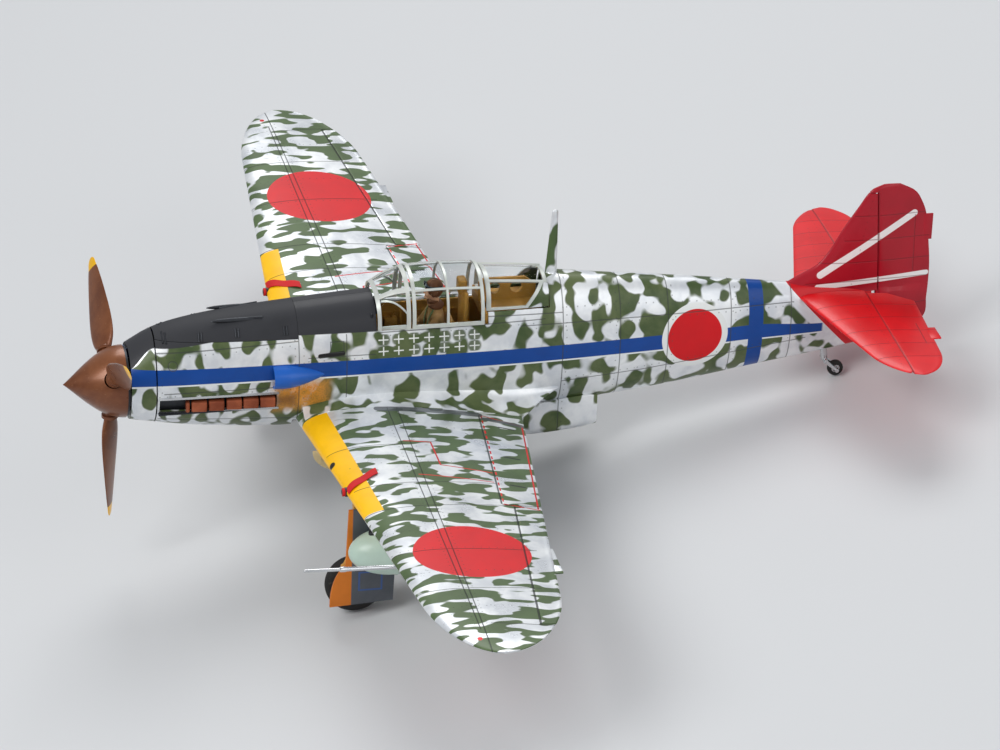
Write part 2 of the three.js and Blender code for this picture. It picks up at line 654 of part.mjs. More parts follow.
function buildFinAndRudder() {
  const place = (z, y, x) => point(x, y, z);
  const upper = foil([10, 13.6, 18, 25.2, 30, 32.9, 34.5], finAt, place, acrossZ, 0);
  const lower = foil([-0.8, 0.8, 2.5, 7.4, 10], finAt, place, acrossZ, 0);
  const whole = upper.add(lower);
  const slope = (rudderHinge.high[0] - rudderHinge.low[0]) / (rudderHinge.high[1] - rudderHinge.low[1]);
  const hingeAt = (z) => rudderHinge.low[0] + slope * (z - rudderHinge.low[1]);
  const behind = loft([-10, 10].map((x) => [point(x, hingeAt(-10), -10), point(x, 200, -10), point(x, 200, 33),
    point(x, hingeAt(33), 33)]), acrossX);
  const cap = box(-10, 10, hingeAt(33) - 2.4, 200, 33, 40);
  const rudder = whole.intersect(behind.add(cap)).add(rudderNose(0));
  const fixed = whole.subtract(behind).subtract(box(-10, 10, hingeAt(33) - 2.8, 200, 32.6, 40))
    .subtract(rudderNose(0.35)).subtract(clearedBody).subtract(box(-5, 5, 140, 200, -5, 11));
  piece("fin", largest(fixed), tailRed);
  piece("rudder", largest(rudder), tailRed);
}

// Undercarriage
function wheelSolid(centre, radius, width, hubRadius) {
  const half = width / 2;
  const profile = [[0, -half * 0.5], [hubRadius, -half * 0.6], [radius * 0.8, -half], [radius, -half * 0.3],
    [radius, half * 0.3], [radius * 0.8, half], [hubRadius, half * 0.6], [0, half * 0.5]];
  const points = profile.map(([r, h]) => new THREE.Vector2(r, h));
  const geometry = new THREE.LatheGeometry(points, wheelSides);
  geometry.rotateZ(Math.PI / 2);
  geometry.rotateX(THREE.MathUtils.degToRad(stance + 180 / wheelSides)); // a flat of the tread is lowest
  return solidOf(geometry.translate(centre.x, centre.y, centre.z));
}

function buildMainGear() {
  const legX = axle.x + 2.9;
  const top = point(legX, 54, wingAt(legX).height - 0.9);
  const knee = point(legX, 53.95, -18.5);
  const hub = point(legX, axle.y, axle.z);
  const stubAxle = rod(hub, point(axle.x + 1.1, axle.y, axle.z), 0.6, 0.6, 10);
  const leg = joined(
    rod(top, knee, 1.15, 1.15, 12),
    rod(knee, point(legX, axle.y, axle.z - 0.9), 0.75, 0.75, 12),
    rod(point(legX, 52.6, -8.6), point(legX, 55.4, -8.6), 0.9, 0.9, 10),
    stubAxle);
  pair("main_gear_leg", leg, cockpitOchre);
  pair("main_wheel", wheelSolid(axle, wheelRadius, wheelWidth, 2.9), tyreRubber);
  const doorX = legX + 1.4;
  const outline = new THREE.Shape();
  outline.moveTo(51.4, -8.2);
  outline.lineTo(57.2, -8.2);
  outline.lineTo(58.2, -17);
  outline.quadraticCurveTo(61.2, -19.5, 61.2, -24);
  outline.lineTo(61, -29.9);
  outline.lineTo(47.9, -30.6);
  outline.quadraticCurveTo(47.8, -24, 51, -21);
  outline.lineTo(51.4, -8.2);
  const door = new THREE.ExtrudeGeometry(outline, { depth: 0.6, bevelEnabled: false, curveSegments: 6 });
  door.applyMatrix4(new THREE.Matrix4().makeBasis(point(0, 1, 0), point(0, 0, 1), point(1, 0, 0)));
  pair("main_gear_door", solidOf(door.translate(doorX, 0, 0)), darkMetal);
  const inner = new THREE.Shape();
  inner.moveTo(50, -12.4);
  inner.lineTo(64, -12.4);
  inner.absarc(57, -12.6, 6.8, 0, Math.PI, true);
  const flapDoor = new THREE.ExtrudeGeometry(inner, { depth: 0.6, bevelEnabled: false, curveSegments: 12 });
  flapDoor.applyMatrix4(new THREE.Matrix4().makeBasis(point(0, 1, 0), point(0, 0, 1), point(1, 0, 0)));
  pair("inner_gear_door", solidOf(flapDoor.translate(13.2, 0, 0)), cockpitOchre);
}

function buildTailWheel() {
  const wheel = wheelSolid({ x: 0, ...tailAxle }, tailWheelRadius, 1.6, 0.9);
  piece("tail_wheel", wheel, tyreRubber);
  const crown = point(0, 163.5, -6);
  const strut = rod(point(0, 162.5, 1.2), crown, 0.85, 0.75);
  const yoke = rod(point(-1.75, 163.5, -6), point(1.75, 163.5, -6), 0.5, 0.5, 8);
  const arms = [-1, 1].map((side) => joined(
    rod(point(side * 1.4, 163.5, -6), point(side * 1.4, tailAxle.y, tailAxle.z), 0.4, 0.4, 8),
    rod(point(side * 0.75, tailAxle.y, tailAxle.z), point(side * 1.85, tailAxle.y, tailAxle.z), 0.5, 0.5, 8)));
  piece("tail_wheel_fork", joined(strut, yoke, ...arms), bareMetal);
}

function buildTanks() {
  const nose = Array.from({ length: 4 }, (_, k) => {
    const angle = (k / 4) * Math.PI / 2;
    return [tank.radius * Math.sin(angle), tank.shoulder * (1 - Math.cos(angle))];
  });
  const tail = Array.from({ length: 7 }, (_, k) => {
    const t = k / 6;
    return [tank.radius * Math.cos(t * Math.PI / 2) ** 0.85, tank.shoulder + t * (tank.length - tank.shoulder)];
  });
  tail[6][0] = 0;
  const profile = [...nose, ...tail];
  const shape = solidOf(geometryOf(turned(profile, 18)).translate(tank.x, tank.y, tank.z));
  const cap = rod(point(tank.x, 55.4, tank.z + 2.6), point(tank.x, 55.4, tank.z + 4.5), 0.9, 0.9, 10);
  pair("drop_tank", shape.add(cap), tankGrey);
  const bottom = tank.z + tank.radius - 0.4;
  const rings = [[bottom, 60, 76], [-4.4, 58, 79]].map(([z, y0, y1]) =>
    Array.from({ length: 10 }, (_, k) => {
      const angle = (k / 10) * 2 * Math.PI;
      return point(tank.x + 0.9 * Math.sin(angle), (y0 + y1) / 2 - Math.cos(angle) * (y1 - y0) / 2, z);
    }));
  const tankRoom = solidOf(geometryOf(turned(profile.map(([r, y]) => [r ? r + gap : 0, y]), 18))
    .translate(tank.x, tank.y, tank.z));
  const rack = loft(rings, acrossZ).subtract(wingCleared).subtract(tankRoom);
  pair("tank_rack", largest(rack), camouflage);
}

buildFuselage();
buildExhausts();
buildIntake();
buildPropeller();
buildWings();
buildFillets();
buildPitot();
buildCanopy();
buildCockpit();
buildPilot();
buildMast();
buildRadiator();
buildTailplanes();
buildFinAndRudder();
buildMainGear();
buildTailWheel();
buildTanks();

// On the ground: tipped back, with the origin under the middle of the whole model
aircraft.rotation.x = THREE.MathUtils.degToRad(-stance);
aircraft.updateMatrixWorld(true);
const extent = new THREE.Box3().setFromObject(aircraft, true);
aircraft.position.set(0, -(extent.min.y + extent.max.y) / 2, -extent.min.z);

const model = new THREE.Group();
model.add(aircraft);

export default model;
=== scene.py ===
import json
import math

import bmesh
import bpy
from mathutils import Matrix, Vector


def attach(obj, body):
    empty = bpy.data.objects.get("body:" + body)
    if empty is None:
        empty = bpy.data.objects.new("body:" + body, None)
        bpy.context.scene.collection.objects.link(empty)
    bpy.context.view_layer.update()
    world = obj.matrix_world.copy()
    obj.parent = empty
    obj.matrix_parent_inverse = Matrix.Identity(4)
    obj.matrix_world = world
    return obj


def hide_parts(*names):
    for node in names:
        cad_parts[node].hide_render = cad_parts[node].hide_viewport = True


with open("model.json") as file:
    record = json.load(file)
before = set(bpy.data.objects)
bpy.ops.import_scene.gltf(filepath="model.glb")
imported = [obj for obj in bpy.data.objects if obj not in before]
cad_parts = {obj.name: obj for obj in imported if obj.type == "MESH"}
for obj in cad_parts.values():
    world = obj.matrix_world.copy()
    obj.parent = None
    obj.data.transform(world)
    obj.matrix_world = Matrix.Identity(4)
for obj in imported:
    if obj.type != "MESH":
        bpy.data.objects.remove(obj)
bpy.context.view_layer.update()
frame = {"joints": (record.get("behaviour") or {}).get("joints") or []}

fullTurn = 2 * math.pi

# The aircraft is drawn level in millimetres, its spinner's tip at the origin, and then
# stood on its wheels
spinJoint = next(joint for joint in frame["joints"] if joint["name"] == "propeller_spin")
aftWay = Vector(spinJoint["axis"]).normalized()
upWay = Vector((1, 0, 0)).cross(aftWay)
tipPlace = Vector(spinJoint["pos_m"])
lean = math.atan2(upWay.y, upWay.z)
toRow = Matrix((
    (1, 0, 0, tipPlace.x), (0, aftWay.y, upWay.y, tipPlace.y),
    (0, aftWay.z, upWay.z, tipPlace.z), (0, 0, 0, 1),
)) @ Matrix.Scale(0.001, 4)


def blendValue(a, b, t):
    return a + (b - a) * t


def smoothAlong(pairs, position):
    last = len(pairs) - 1
    i = 0
    while i < last - 1 and position > pairs[i + 1][0]:
        i += 1

    def slopeAt(k):
        before, after = pairs[max(k - 1, 0)], pairs[min(k + 1, last)]
        return (after[1] - before[1]) / (after[0] - before[0])

    (x0, v0), (x1, v1) = pairs[i], pairs[i + 1]
    span = x1 - x0
    t = min(max((position - x0) / span, 0), 1)
    s = 1 - t
    return (v0 * s * s * (1 + 2 * t) + v1 * t * t * (3 - 2 * t)
            + span * (slopeAt(i) * t * s * s - slopeAt(i + 1) * t * t * s))


def steps(start, end, count):
    return [start + (end - start) * k / count for k in range(count + 1)]


# Mesh helpers
def sheet(bm, across, rows, place):
    # a grid whose columns run 0 to 1 and whose rows stand at the given values
    made = bmesh.ops.create_grid(bm, x_segments=across, y_segments=len(rows) - 1, size=1)["verts"]
    for vert in made:
        row = rows[round((vert.co.y + 1) / 2 * (len(rows) - 1))]
        vert.co = place(min(max((vert.co.x + 1) / 2, 0), 1), row)
    return made


def lathe(bm, profile, centre, axis="y", count=48):
    # [radius, distance along the axis] pairs turned once round it
    ways = {"x": Vector((1, 0, 0)), "y": Vector((0, 1, 0)), "z": Vector((0, 0, 1))}
    way = ways[axis]
    side = ways["z"] if axis != "z" else ways["x"]
    centre = Vector(centre)
    verts = [bm.verts.new(centre + way * d + side * r) for r, d in profile]
    edges = [bm.edges.new(pair) for pair in zip(verts, verts[1:])]
    made = bmesh.ops.spin(bm, geom=verts + edges, cent=centre, axis=way, angle=fullTurn,
                          steps=count, use_merge=True, use_duplicate=False)
    return made["geom_last"]


def rod(bm, start, end, radius, endRadius=None, sides=20, rim=0.0):
    start, end = Vector(start), Vector(end)
    way = end - start
    turn = way.to_track_quat("Z", "Y").to_matrix().to_4x4()
    made = bmesh.ops.create_cone(
        bm, cap_ends=True, segments=sides, radius1=radius,
        radius2=radius if endRadius is None else endRadius, depth=way.length,
        matrix=Matrix.Translation((start + end) / 2) @ turn)["verts"]
    if rim:
        edges = dict.fromkeys(e for v in made for e in v.link_edges
                              if max(len(f.verts) for f in e.link_faces) > 4)
        bmesh.ops.bevel(bm, geom=list(edges), offset=rim, segments=2, profile=0.5,
                        affect="EDGES", material=-1)
    return made


def block(bm, low, high, rim=0.12, segments=2):
    low, high = Vector(low), Vector(high)
    size = high - low
    matrix = Matrix.Translation((low + high) / 2) @ Matrix.Diagonal((*size, 1))
    made = bmesh.ops.create_cube(bm, size=1, matrix=matrix)["verts"]
    if rim:
        edges = dict.fromkeys(e for v in made for e in v.link_edges)
        made = bmesh.ops.bevel(bm, geom=list(edges), offset=rim, segments=segments, profile=0.5,
                               affect="EDGES", material=-1)["verts"]
    return made


def ball(bm, centre, radii, count=20, turn=None):
    matrix = Matrix.Translation(centre) @ (turn or Matrix.Identity(4)) @ Matrix.Diagonal((*radii, 1))
    return bmesh.ops.create_uvsphere(bm, u_segments=count, v_segments=count // 2 + 2, radius=1,
                                     matrix=matrix)["verts"]


def prism(bm, outline, low, high, rim=0.0):
    # an outline of points in one plane, pushed out from low to high along the given axis
    verts = [bm.verts.new(low(point)) for point in outline]
    face = bm.faces.new(verts)
    pushed = bmesh.ops.extrude_face_region(bm, geom=[face])["geom"]
    shift = high(outline[0]) - low(outline[0])
    bmesh.ops.translate(bm, verts=[v for v in pushed if isinstance(v, bmesh.types.BMVert)], vec=shift)
    if rim:
        made = verts + [v for v in pushed if isinstance(v, bmesh.types.BMVert)]
        edges = dict.fromkeys(e for v in made for e in v.link_edges)
        bmesh.ops.bevel(bm, geom=list(edges), offset=rim, segments=2, profile=0.5,
                        affect="EDGES", material=-1)


def cutAcross(bm, point, normal, dropFront=False, dropBack=False):
    return bmesh.ops.bisect_plane(
        bm, geom=bm.verts[:] + bm.edges[:] + bm.faces[:], plane_co=point, plane_no=normal,
        clear_outer=dropFront, clear_inner=dropBack, dist=1e-5)["geom_cut"]


def dropFaces(bm, test):
    faces = [f for f in bm.faces if test(f.calc_center_median())]
    bmesh.ops.delete(bm, geom=faces, context="FACES")


def clean(bm, merge=0.004):
    bmesh.ops.remove_doubles(bm, verts=bm.verts, dist=merge)
    bmesh.ops.dissolve_degenerate(bm, dist=0.001, edges=bm.edges)
    loose = [v for v in bm.verts if not v.link_faces]
    bmesh.ops.delete(bm, geom=loose, context="VERTS")
    bmesh.ops.recalc_face_normals(bm, faces=bm.faces)


def mirrored(bm):
    other = bm.copy()
    bmesh.ops.scale(other, vec=(-1, 1, 1), verts=other.verts)
    bmesh.ops.reverse_faces(other, faces=other.faces)
    return other


def throwaway(bm, name):
    mesh = bpy.data.meshes.new(name)
    bm.to_mesh(mesh)
    thing = bpy.data.objects.new(name, mesh)
    bpy.context.scene.collection.objects.link(thing)
    return thing


def carve(bm, cutter, operation="DIFFERENCE"):
    clean(cutter)
    body, tool = throwaway(bm, "carveBody"), throwaway(cutter, "carveTool")
    step = body.modifiers.new("cut", "BOOLEAN")
    step.object, step.operation, step.solver = tool, operation, "EXACT"
    bpy.context.view_layer.update()
    result = bpy.data.meshes.new_from_object(body.evaluated_get(bpy.context.evaluated_depsgraph_get()))
    carved = bmesh.new()
    carved.from_mesh(result)
    for thing in (body, tool):
        mesh = thing.data
        bpy.data.objects.remove(thing)
        bpy.data.meshes.remove(mesh)
    bpy.data.meshes.remove(result)
    bm.free()
    cutter.free()
    return carved


def makePiece(name, bm, body, nodes, slotName, finishes, angle=32, rim=0.0, wall=0.0, merge=0.004):
    clean(bm, merge)
    if wall:
        bmesh.ops.solidify(bm, geom=bm.faces[:], thickness=wall)
    bmesh.ops.transform(bm, matrix=toRow, verts=bm.verts)
    mesh = bpy.data.meshes.new(name)
    bm.to_mesh(mesh)
    bm.free()
    for finish in finishes if isinstance(finishes, (list, tuple)) else [finishes]:
        mesh.materials.append(finish)
    mesh.polygons.foreach_set("use_smooth", [True] * len(mesh.polygons))
    mesh.set_sharp_from_angle(angle=math.radians(angle))
    piece = bpy.data.objects.new(name, mesh)
    bpy.context.scene.collection.objects.link(piece)
    if rim:
        edgeStep = piece.modifiers.new("softEdges", "BEVEL")
        edgeStep.width, edgeStep.segments, edgeStep.limit_method = rim * 0.001, 2, "ANGLE"
        edgeStep.angle_limit = math.radians(40)
        edgeStep.harden_normals = True
    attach(piece, body)
    if nodes:
        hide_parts(*nodes)
    return piece


def makePair(name, bm, bodies, nodes, slotName, finishes, **settings):
    # one body name stands for both sides
    leftBody, rightBody = (bodies, bodies) if isinstance(bodies, str) else bodies
    other = mirrored(bm)
    leftNodes = [node + "_left" for node in nodes]
    left = makePiece(name + "Left", bm, leftBody, leftNodes, slotName, finishes, **settings)
    rightNodes = [node + "_right" for node in nodes]
    makePiece(name + "Right", other, rightBody, rightNodes, slotName, finishes, **settings)
    return left


# Shading helpers
def shade(red, green, blue):
    def linear(value):
        value /= 255
        return value / 12.92 if value <= 0.04045 else ((value + 0.055) / 1.055) ** 2.4
    return (linear(red), linear(green), linear(blue), 1)


def addNode(tree, kind, **settings):
    made = tree.nodes.new(kind)
    for key, value in settings.items():
        setattr(made, key, value)
    return made


def wire(tree, value, socket):
    if isinstance(value, bpy.types.NodeSocket):
        tree.links.new(value, socket)
    else:
        socket.default_value = value


def calc(tree, operation, a, b=0.0, clamp=False):
    made = addNode(tree, "ShaderNodeMath", operation=operation, use_clamp=clamp)
    wire(tree, a, made.inputs[0])
    wire(tree, b, made.inputs[1])
    return made.outputs[0]


def vectorCalc(tree, operation, a, b=None, scale=None, output=0):
    made = addNode(tree, "ShaderNodeVectorMath", operation=operation)
    wire(tree, a, made.inputs[0])
    if b is not None:
        wire(tree, b, made.inputs[1])
    if scale is not None:
        wire(tree, scale, made.inputs["Scale"])
    return made.outputs[output]


def ramp(tree, value, low, high, start=0.0, end=1.0):
    made = addNode(tree, "ShaderNodeMapRange", interpolation_type="SMOOTHSTEP")
    for key, item in enumerate((value, low, high, start, end)):
        wire(tree, item, made.inputs[key])
    return made.outputs[0]


def mix(tree, factor, a, b, mode="MIX"):
    made = addNode(tree, "ShaderNodeMix", data_type="RGBA", blend_type=mode)
    for key, item in ((0, factor), (6, a), (7, b)):
        wire(tree, item, made.inputs[key])
    return made.outputs[2]


def noise(tree, vector, scale=1.0, detail=2.0, rough=0.5, swirl=0.0):
    made = addNode(tree, "ShaderNodeTexNoise")
    wire(tree, vector, made.inputs["Vector"])
    for key, item in (("Scale", scale), ("Detail", detail), ("Roughness", rough), ("Distortion", swirl)):
        wire(tree, item, made.inputs[key])
    return made.outputs[0]


def mapped(tree, vector, scale=(1, 1, 1), turn=(0, 0, 0), shift=(0, 0, 0)):
    made = addNode(tree, "ShaderNodeMapping")
    wire(tree, vector, made.inputs["Vector"])
    made.inputs["Scale"].default_value = scale
    made.inputs["Rotation"].default_value = turn
    made.inputs["Location"].default_value = shift
    return made.outputs[0]


def parts(tree, vector):
    made = addNode(tree, "ShaderNodeSeparateXYZ")
    wire(tree, vector, made.inputs[0])
    return made.outputs


def joinedVector(tree, x, y, z=0.0):
    made = addNode(tree, "ShaderNodeCombineXYZ")
    for key, item in enumerate((x, y, z)):
        wire(tree, item, made.inputs[key])
    return made.outputs[0]


def makeGroup(name, inputs, outputs):
    tree = bpy.data.node_groups.new(name, "ShaderNodeTree")
    for label, kind, value in inputs:
        socket = tree.interface.new_socket(name=label, in_out="INPUT", socket_type=kind)
        if value is not None:
            socket.default_value = value
    for label in outputs:
        tree.interface.new_socket(name=label, in_out="OUTPUT", socket_type="NodeSocketFloat")
    source, sink = tree.nodes.new("NodeGroupInput"), tree.nodes.new("NodeGroupOutput")
    return tree, source.outputs, sink.inputs


def useGroup(tree, group, values, output=0):
    made = addNode(tree, "ShaderNodeGroup")
    made.node_tree = group
    for label, value in values.items():
        wire(tree, value, made.inputs[label])
    return made.outputs[output] if isinstance(output, int) else [made.outputs[o] for o in output]


vectorKind, floatKind = "NodeSocketVector", "NodeSocketFloat"


def makeMottle():
    tree, given, result = makeGroup("mottle", [
        ("Place", vectorKind, None), ("Cover", floatKind, 0.5), ("Soft", floatKind, 0.04),
        ("Swirl", floatKind, 0.8)], ["Mask"])
    field = noise(tree, given["Place"], 1.0, 0.35, 0.4, given["Swirl"])
    low = calc(tree, "SUBTRACT", given["Cover"], given["Soft"])
    high = calc(tree, "ADD", given["Cover"], given["Soft"])
    wire(tree, ramp(tree, field, low, high), result["Mask"])
    return tree


def makeWear():
    tree, given, result = makeGroup("wear", [
        ("Place", vectorKind, None), ("Size", floatKind, 1.0)], ["Tone", "Grain", "Scratch"])
    sized = vectorCalc(tree, "SCALE", given["Place"], scale=given["Size"])
    wire(tree, noise(tree, sized, 0.12, 4, 0.6, 0.3), result["Tone"])
    wire(tree, noise(tree, sized, 2.6, 3, 0.6), result["Grain"])
    streak = noise(tree, mapped(tree, sized, (2.4, 0.16, 2.4), (0.1, 0, 0.15)), 1.0, 3, 0.65)
    wire(tree, ramp(tree, streak, 0.62, 0.72), result["Scratch"])
    return tree


def segmentNodes(tree, given):
    # distance from the segment Start to End, and the distance along it
    way = vectorCalc(tree, "SUBTRACT", given["End"], given["Start"])
    offset = vectorCalc(tree, "SUBTRACT", given["Place"], given["Start"])
    length = vectorCalc(tree, "LENGTH", way, output=1)
    share = calc(tree, "DIVIDE", vectorCalc(tree, "DOT_PRODUCT", offset, way, output=1),
                 calc(tree, "MULTIPLY", length, length), clamp=True)
    nearest = vectorCalc(tree, "SCALE", way, scale=share)
    distance = vectorCalc(tree, "DISTANCE", offset, nearest, output=1)
    return distance, calc(tree, "MULTIPLY", share, length)


segmentInputs = [("Place", vectorKind, None), ("Start", vectorKind, None), ("End", vectorKind, None)]


def makeStroke():
    tree, given, result = makeGroup("stroke", segmentInputs + [
        ("Width", floatKind, 0.25), ("Dash", floatKind, 0.0)], ["Mask"])
    distance, travel = segmentNodes(tree, given)
    half = calc(tree, "MULTIPLY", given["Width"], 0.5)
    line = ramp(tree, distance, calc(tree, "SUBTRACT", half, 0.06), calc(tree, "ADD", half, 0.06), 1, 0)
    wave = calc(tree, "SINE", calc(tree, "MULTIPLY", travel, given["Dash"]))
    wire(tree, calc(tree, "MULTIPLY", line, ramp(tree, wave, -0.35, -0.15)), result["Mask"])
    return tree


def makeRivets():
    tree, given, result = makeGroup("rivets", segmentInputs + [
        ("Pitch", floatKind, 1.6), ("Size", floatKind, 0.18)], ["Mask"])
    distance, travel = segmentNodes(tree, given)
    slide = calc(tree, "PINGPONG", travel, calc(tree, "MULTIPLY", given["Pitch"], 0.5))
    gap = calc(tree, "SQRT", calc(tree, "ADD", calc(tree, "MULTIPLY", distance, distance),
                                  calc(tree, "MULTIPLY", slide, slide)))
    wire(tree, ramp(tree, gap, calc(tree, "MULTIPLY", given["Size"], 0.5), given["Size"], 1, 0),
         result["Mask"])
    return tree


def makeDisc():
    tree, given, result = makeGroup("disc", [
        ("Place", vectorKind, None), ("Centre", vectorKind, None), ("Radius", floatKind, 1.0)], ["Mask"])
    gap = calc(tree, "SUBTRACT", vectorCalc(tree, "DISTANCE", given["Place"], given["Centre"], output=1),
               given["Radius"])
    wire(tree, ramp(tree, gap, -0.05, 0.05, 1, 0), result["Mask"])
    return tree


def makeBox():
    tree, given, result = makeGroup("patch", [
        ("Place", vectorKind, None), ("Centre", vectorKind, None), ("Half", vectorKind, None),
        ("Soft", floatKind, 0.06)], ["Mask"])
    offset = vectorCalc(tree, "ABSOLUTE", vectorCalc(tree, "SUBTRACT", given["Place"], given["Centre"]))
    over = parts(tree, vectorCalc(tree, "SUBTRACT", offset, given["Half"]))
    most = calc(tree, "MAXIMUM", over[0], over[1])
    soft = given["Soft"]
    wire(tree, ramp(tree, most, calc(tree, "MULTIPLY", soft, -1), soft, 1, 0), result["Mask"])
    return tree


mottleGroup, wearGroup, strokeGroup = makeMottle(), makeWear(), makeStroke()
rivetGroup, discGroup, patchGroup = makeRivets(), makeDisc(), makeBox()
print("shader groups made")


class Paint:
    # one material being built, with its place in aircraft millimetres
    def __init__(self, name):
        self.material = bpy.data.materials.new(name)
        self.material.use_nodes = True
        self.tree = self.material.node_tree
        self.shader = self.tree.nodes["Principled BSDF"]
        source = addNode(self.tree, "ShaderNodeTexCoord")
        turn = Matrix.Rotation(lean, 3, "X")
        self.place = mapped(self.tree, source.outputs["Object"], (1000, 1000, 1000), (lean, 0, 0),
                            -(turn @ tipPlace) * 1000)
        self.x, self.y, self.z = parts(self.tree, self.place)
        self.outward = calc(self.tree, "ABSOLUTE", self.x)
        self.top = joinedVector(self.tree, self.outward, self.y)
        self.side = joinedVector(self.tree, self.y, self.z)
        self.tone, self.grain, self.scratch = useGroup(
            self.tree, wearGroup, {"Place": self.place, "Size": 1.0}, ("Tone", "Grain", "Scratch"))
        self.height = calc(self.tree, "MULTIPLY", self.grain, 0.007)
        self.lines = None

    def colour(self, value, spread=0.12):
        # a colour with soft darker and lighter drifts
        dark = tuple(c * (1 - spread) for c in value[:3]) + (1,)
        light = tuple(min(c * (1 + spread), 1) for c in value[:3]) + (1,)
        return mix(self.tree, ramp(self.tree, self.tone, 0.3, 0.7), dark, light)

    def over(self, base, mask, colour):
        return mix(self.tree, mask, base, colour)

    def stroke(self, view, start, end, width=0.25, dash=0.0):
        return useGroup(self.tree, strokeGroup, {
            "Place": view, "Start": (*start, 0), "End": (*end, 0), "Width": width, "Dash": dash})

    def rivets(self, view, start, end, pitch=1.6, size=0.2):
        return useGroup(self.tree, rivetGroup, {
            "Place": view, "Start": (*start, 0), "End": (*end, 0), "Pitch": pitch, "Size": size})

    def disc(self, view, centre, radius):
        return useGroup(self.tree, discGroup, {"Place": view, "Centre": (*centre, 0), "Radius": radius})

    def patch(self, view, centre, half, soft=0.06):
        return useGroup(self.tree, patchGroup, {
            "Place": view, "Centre": (*centre, 0), "Half": (*half, 0), "Soft": soft})

    def most(self, masks):
        # the strongest of several masks, joined one by one as they are made
        result = None
        for mask in masks:
            result = mask if result is None else calc(self.tree, "MAXIMUM", result, mask)
        return result

    def strokes(self, view, lines, width=0.22):
        return self.most(self.stroke(view, *line[:2], *(line[2:] or (width,))) for line in lines)

    def rivetRows(self, view, lines):
        return self.most(self.rivets(view, *line) for line in lines)

    def times(self, a, b):
        return calc(self.tree, "MULTIPLY", a, b)

    def lower(self, mask, amount=1.0):
        self.height = calc(self.tree, "SUBTRACT", self.height, self.times(mask, amount))

    def raised(self, mask, amount=1.0):
        self.height = calc(self.tree, "ADD", self.height, self.times(mask, amount))

    def done(self, colour, rough=0.4, metal=0.0, depth=0.00012, strength=0.5, coat=0.0, spread=0.1):
        tree = self.tree
        wire(tree, colour, self.shader.inputs["Base Color"])
        uneven = calc(tree, "MULTIPLY", calc(tree, "SUBTRACT", self.tone, 0.5), spread * 2)
        wire(tree, calc(tree, "ADD", rough, uneven, clamp=True), self.shader.inputs["Roughness"])
        wire(tree, metal, self.shader.inputs["Metallic"])
        self.shader.inputs["Specular IOR Level"].default_value = 0.3
        bump = addNode(tree, "ShaderNodeBump")
        bump.inputs["Strength"].default_value = strength
        bump.inputs["Distance"].default_value = depth
        wire(tree, self.height, bump.inputs["Height"])
        tree.links.new(bump.outputs[0], self.shader.inputs["Normal"])
        if coat:
            self.shader.inputs["Coat Weight"].default_value = coat
            self.shader.inputs["Coat Roughness"].default_value = 0.2
        return self.material


def plainFinish(name, colour, rough=0.45, metal=0.0, spread=0.15, coat=0.0, dirt=0.0,
                dirtColour=None, strength=0.5):
    paint = Paint(name)
    tint = paint.colour(colour, spread)
    if dirt:
        tint = paint.over(tint, paint.times(paint.scratch, dirt), dirtColour or shade(40, 36, 30))
    return paint.done(tint, rough, metal, coat=coat, strength=strength)


silverLow, silverHigh = shade(216, 220, 225), shade(244, 246, 247)
mottleGreen = shade(78, 98, 60)
signalRed, stripeBlue, bandYellow = shade(212, 2, 16), shade(0, 66, 146), shade(250, 190, 0)
lineDark = shade(70, 74, 72)


def silverBase(paint):
    return mix(paint.tree, ramp(paint.tree, paint.tone, 0.35, 0.65), silverLow, silverHigh)


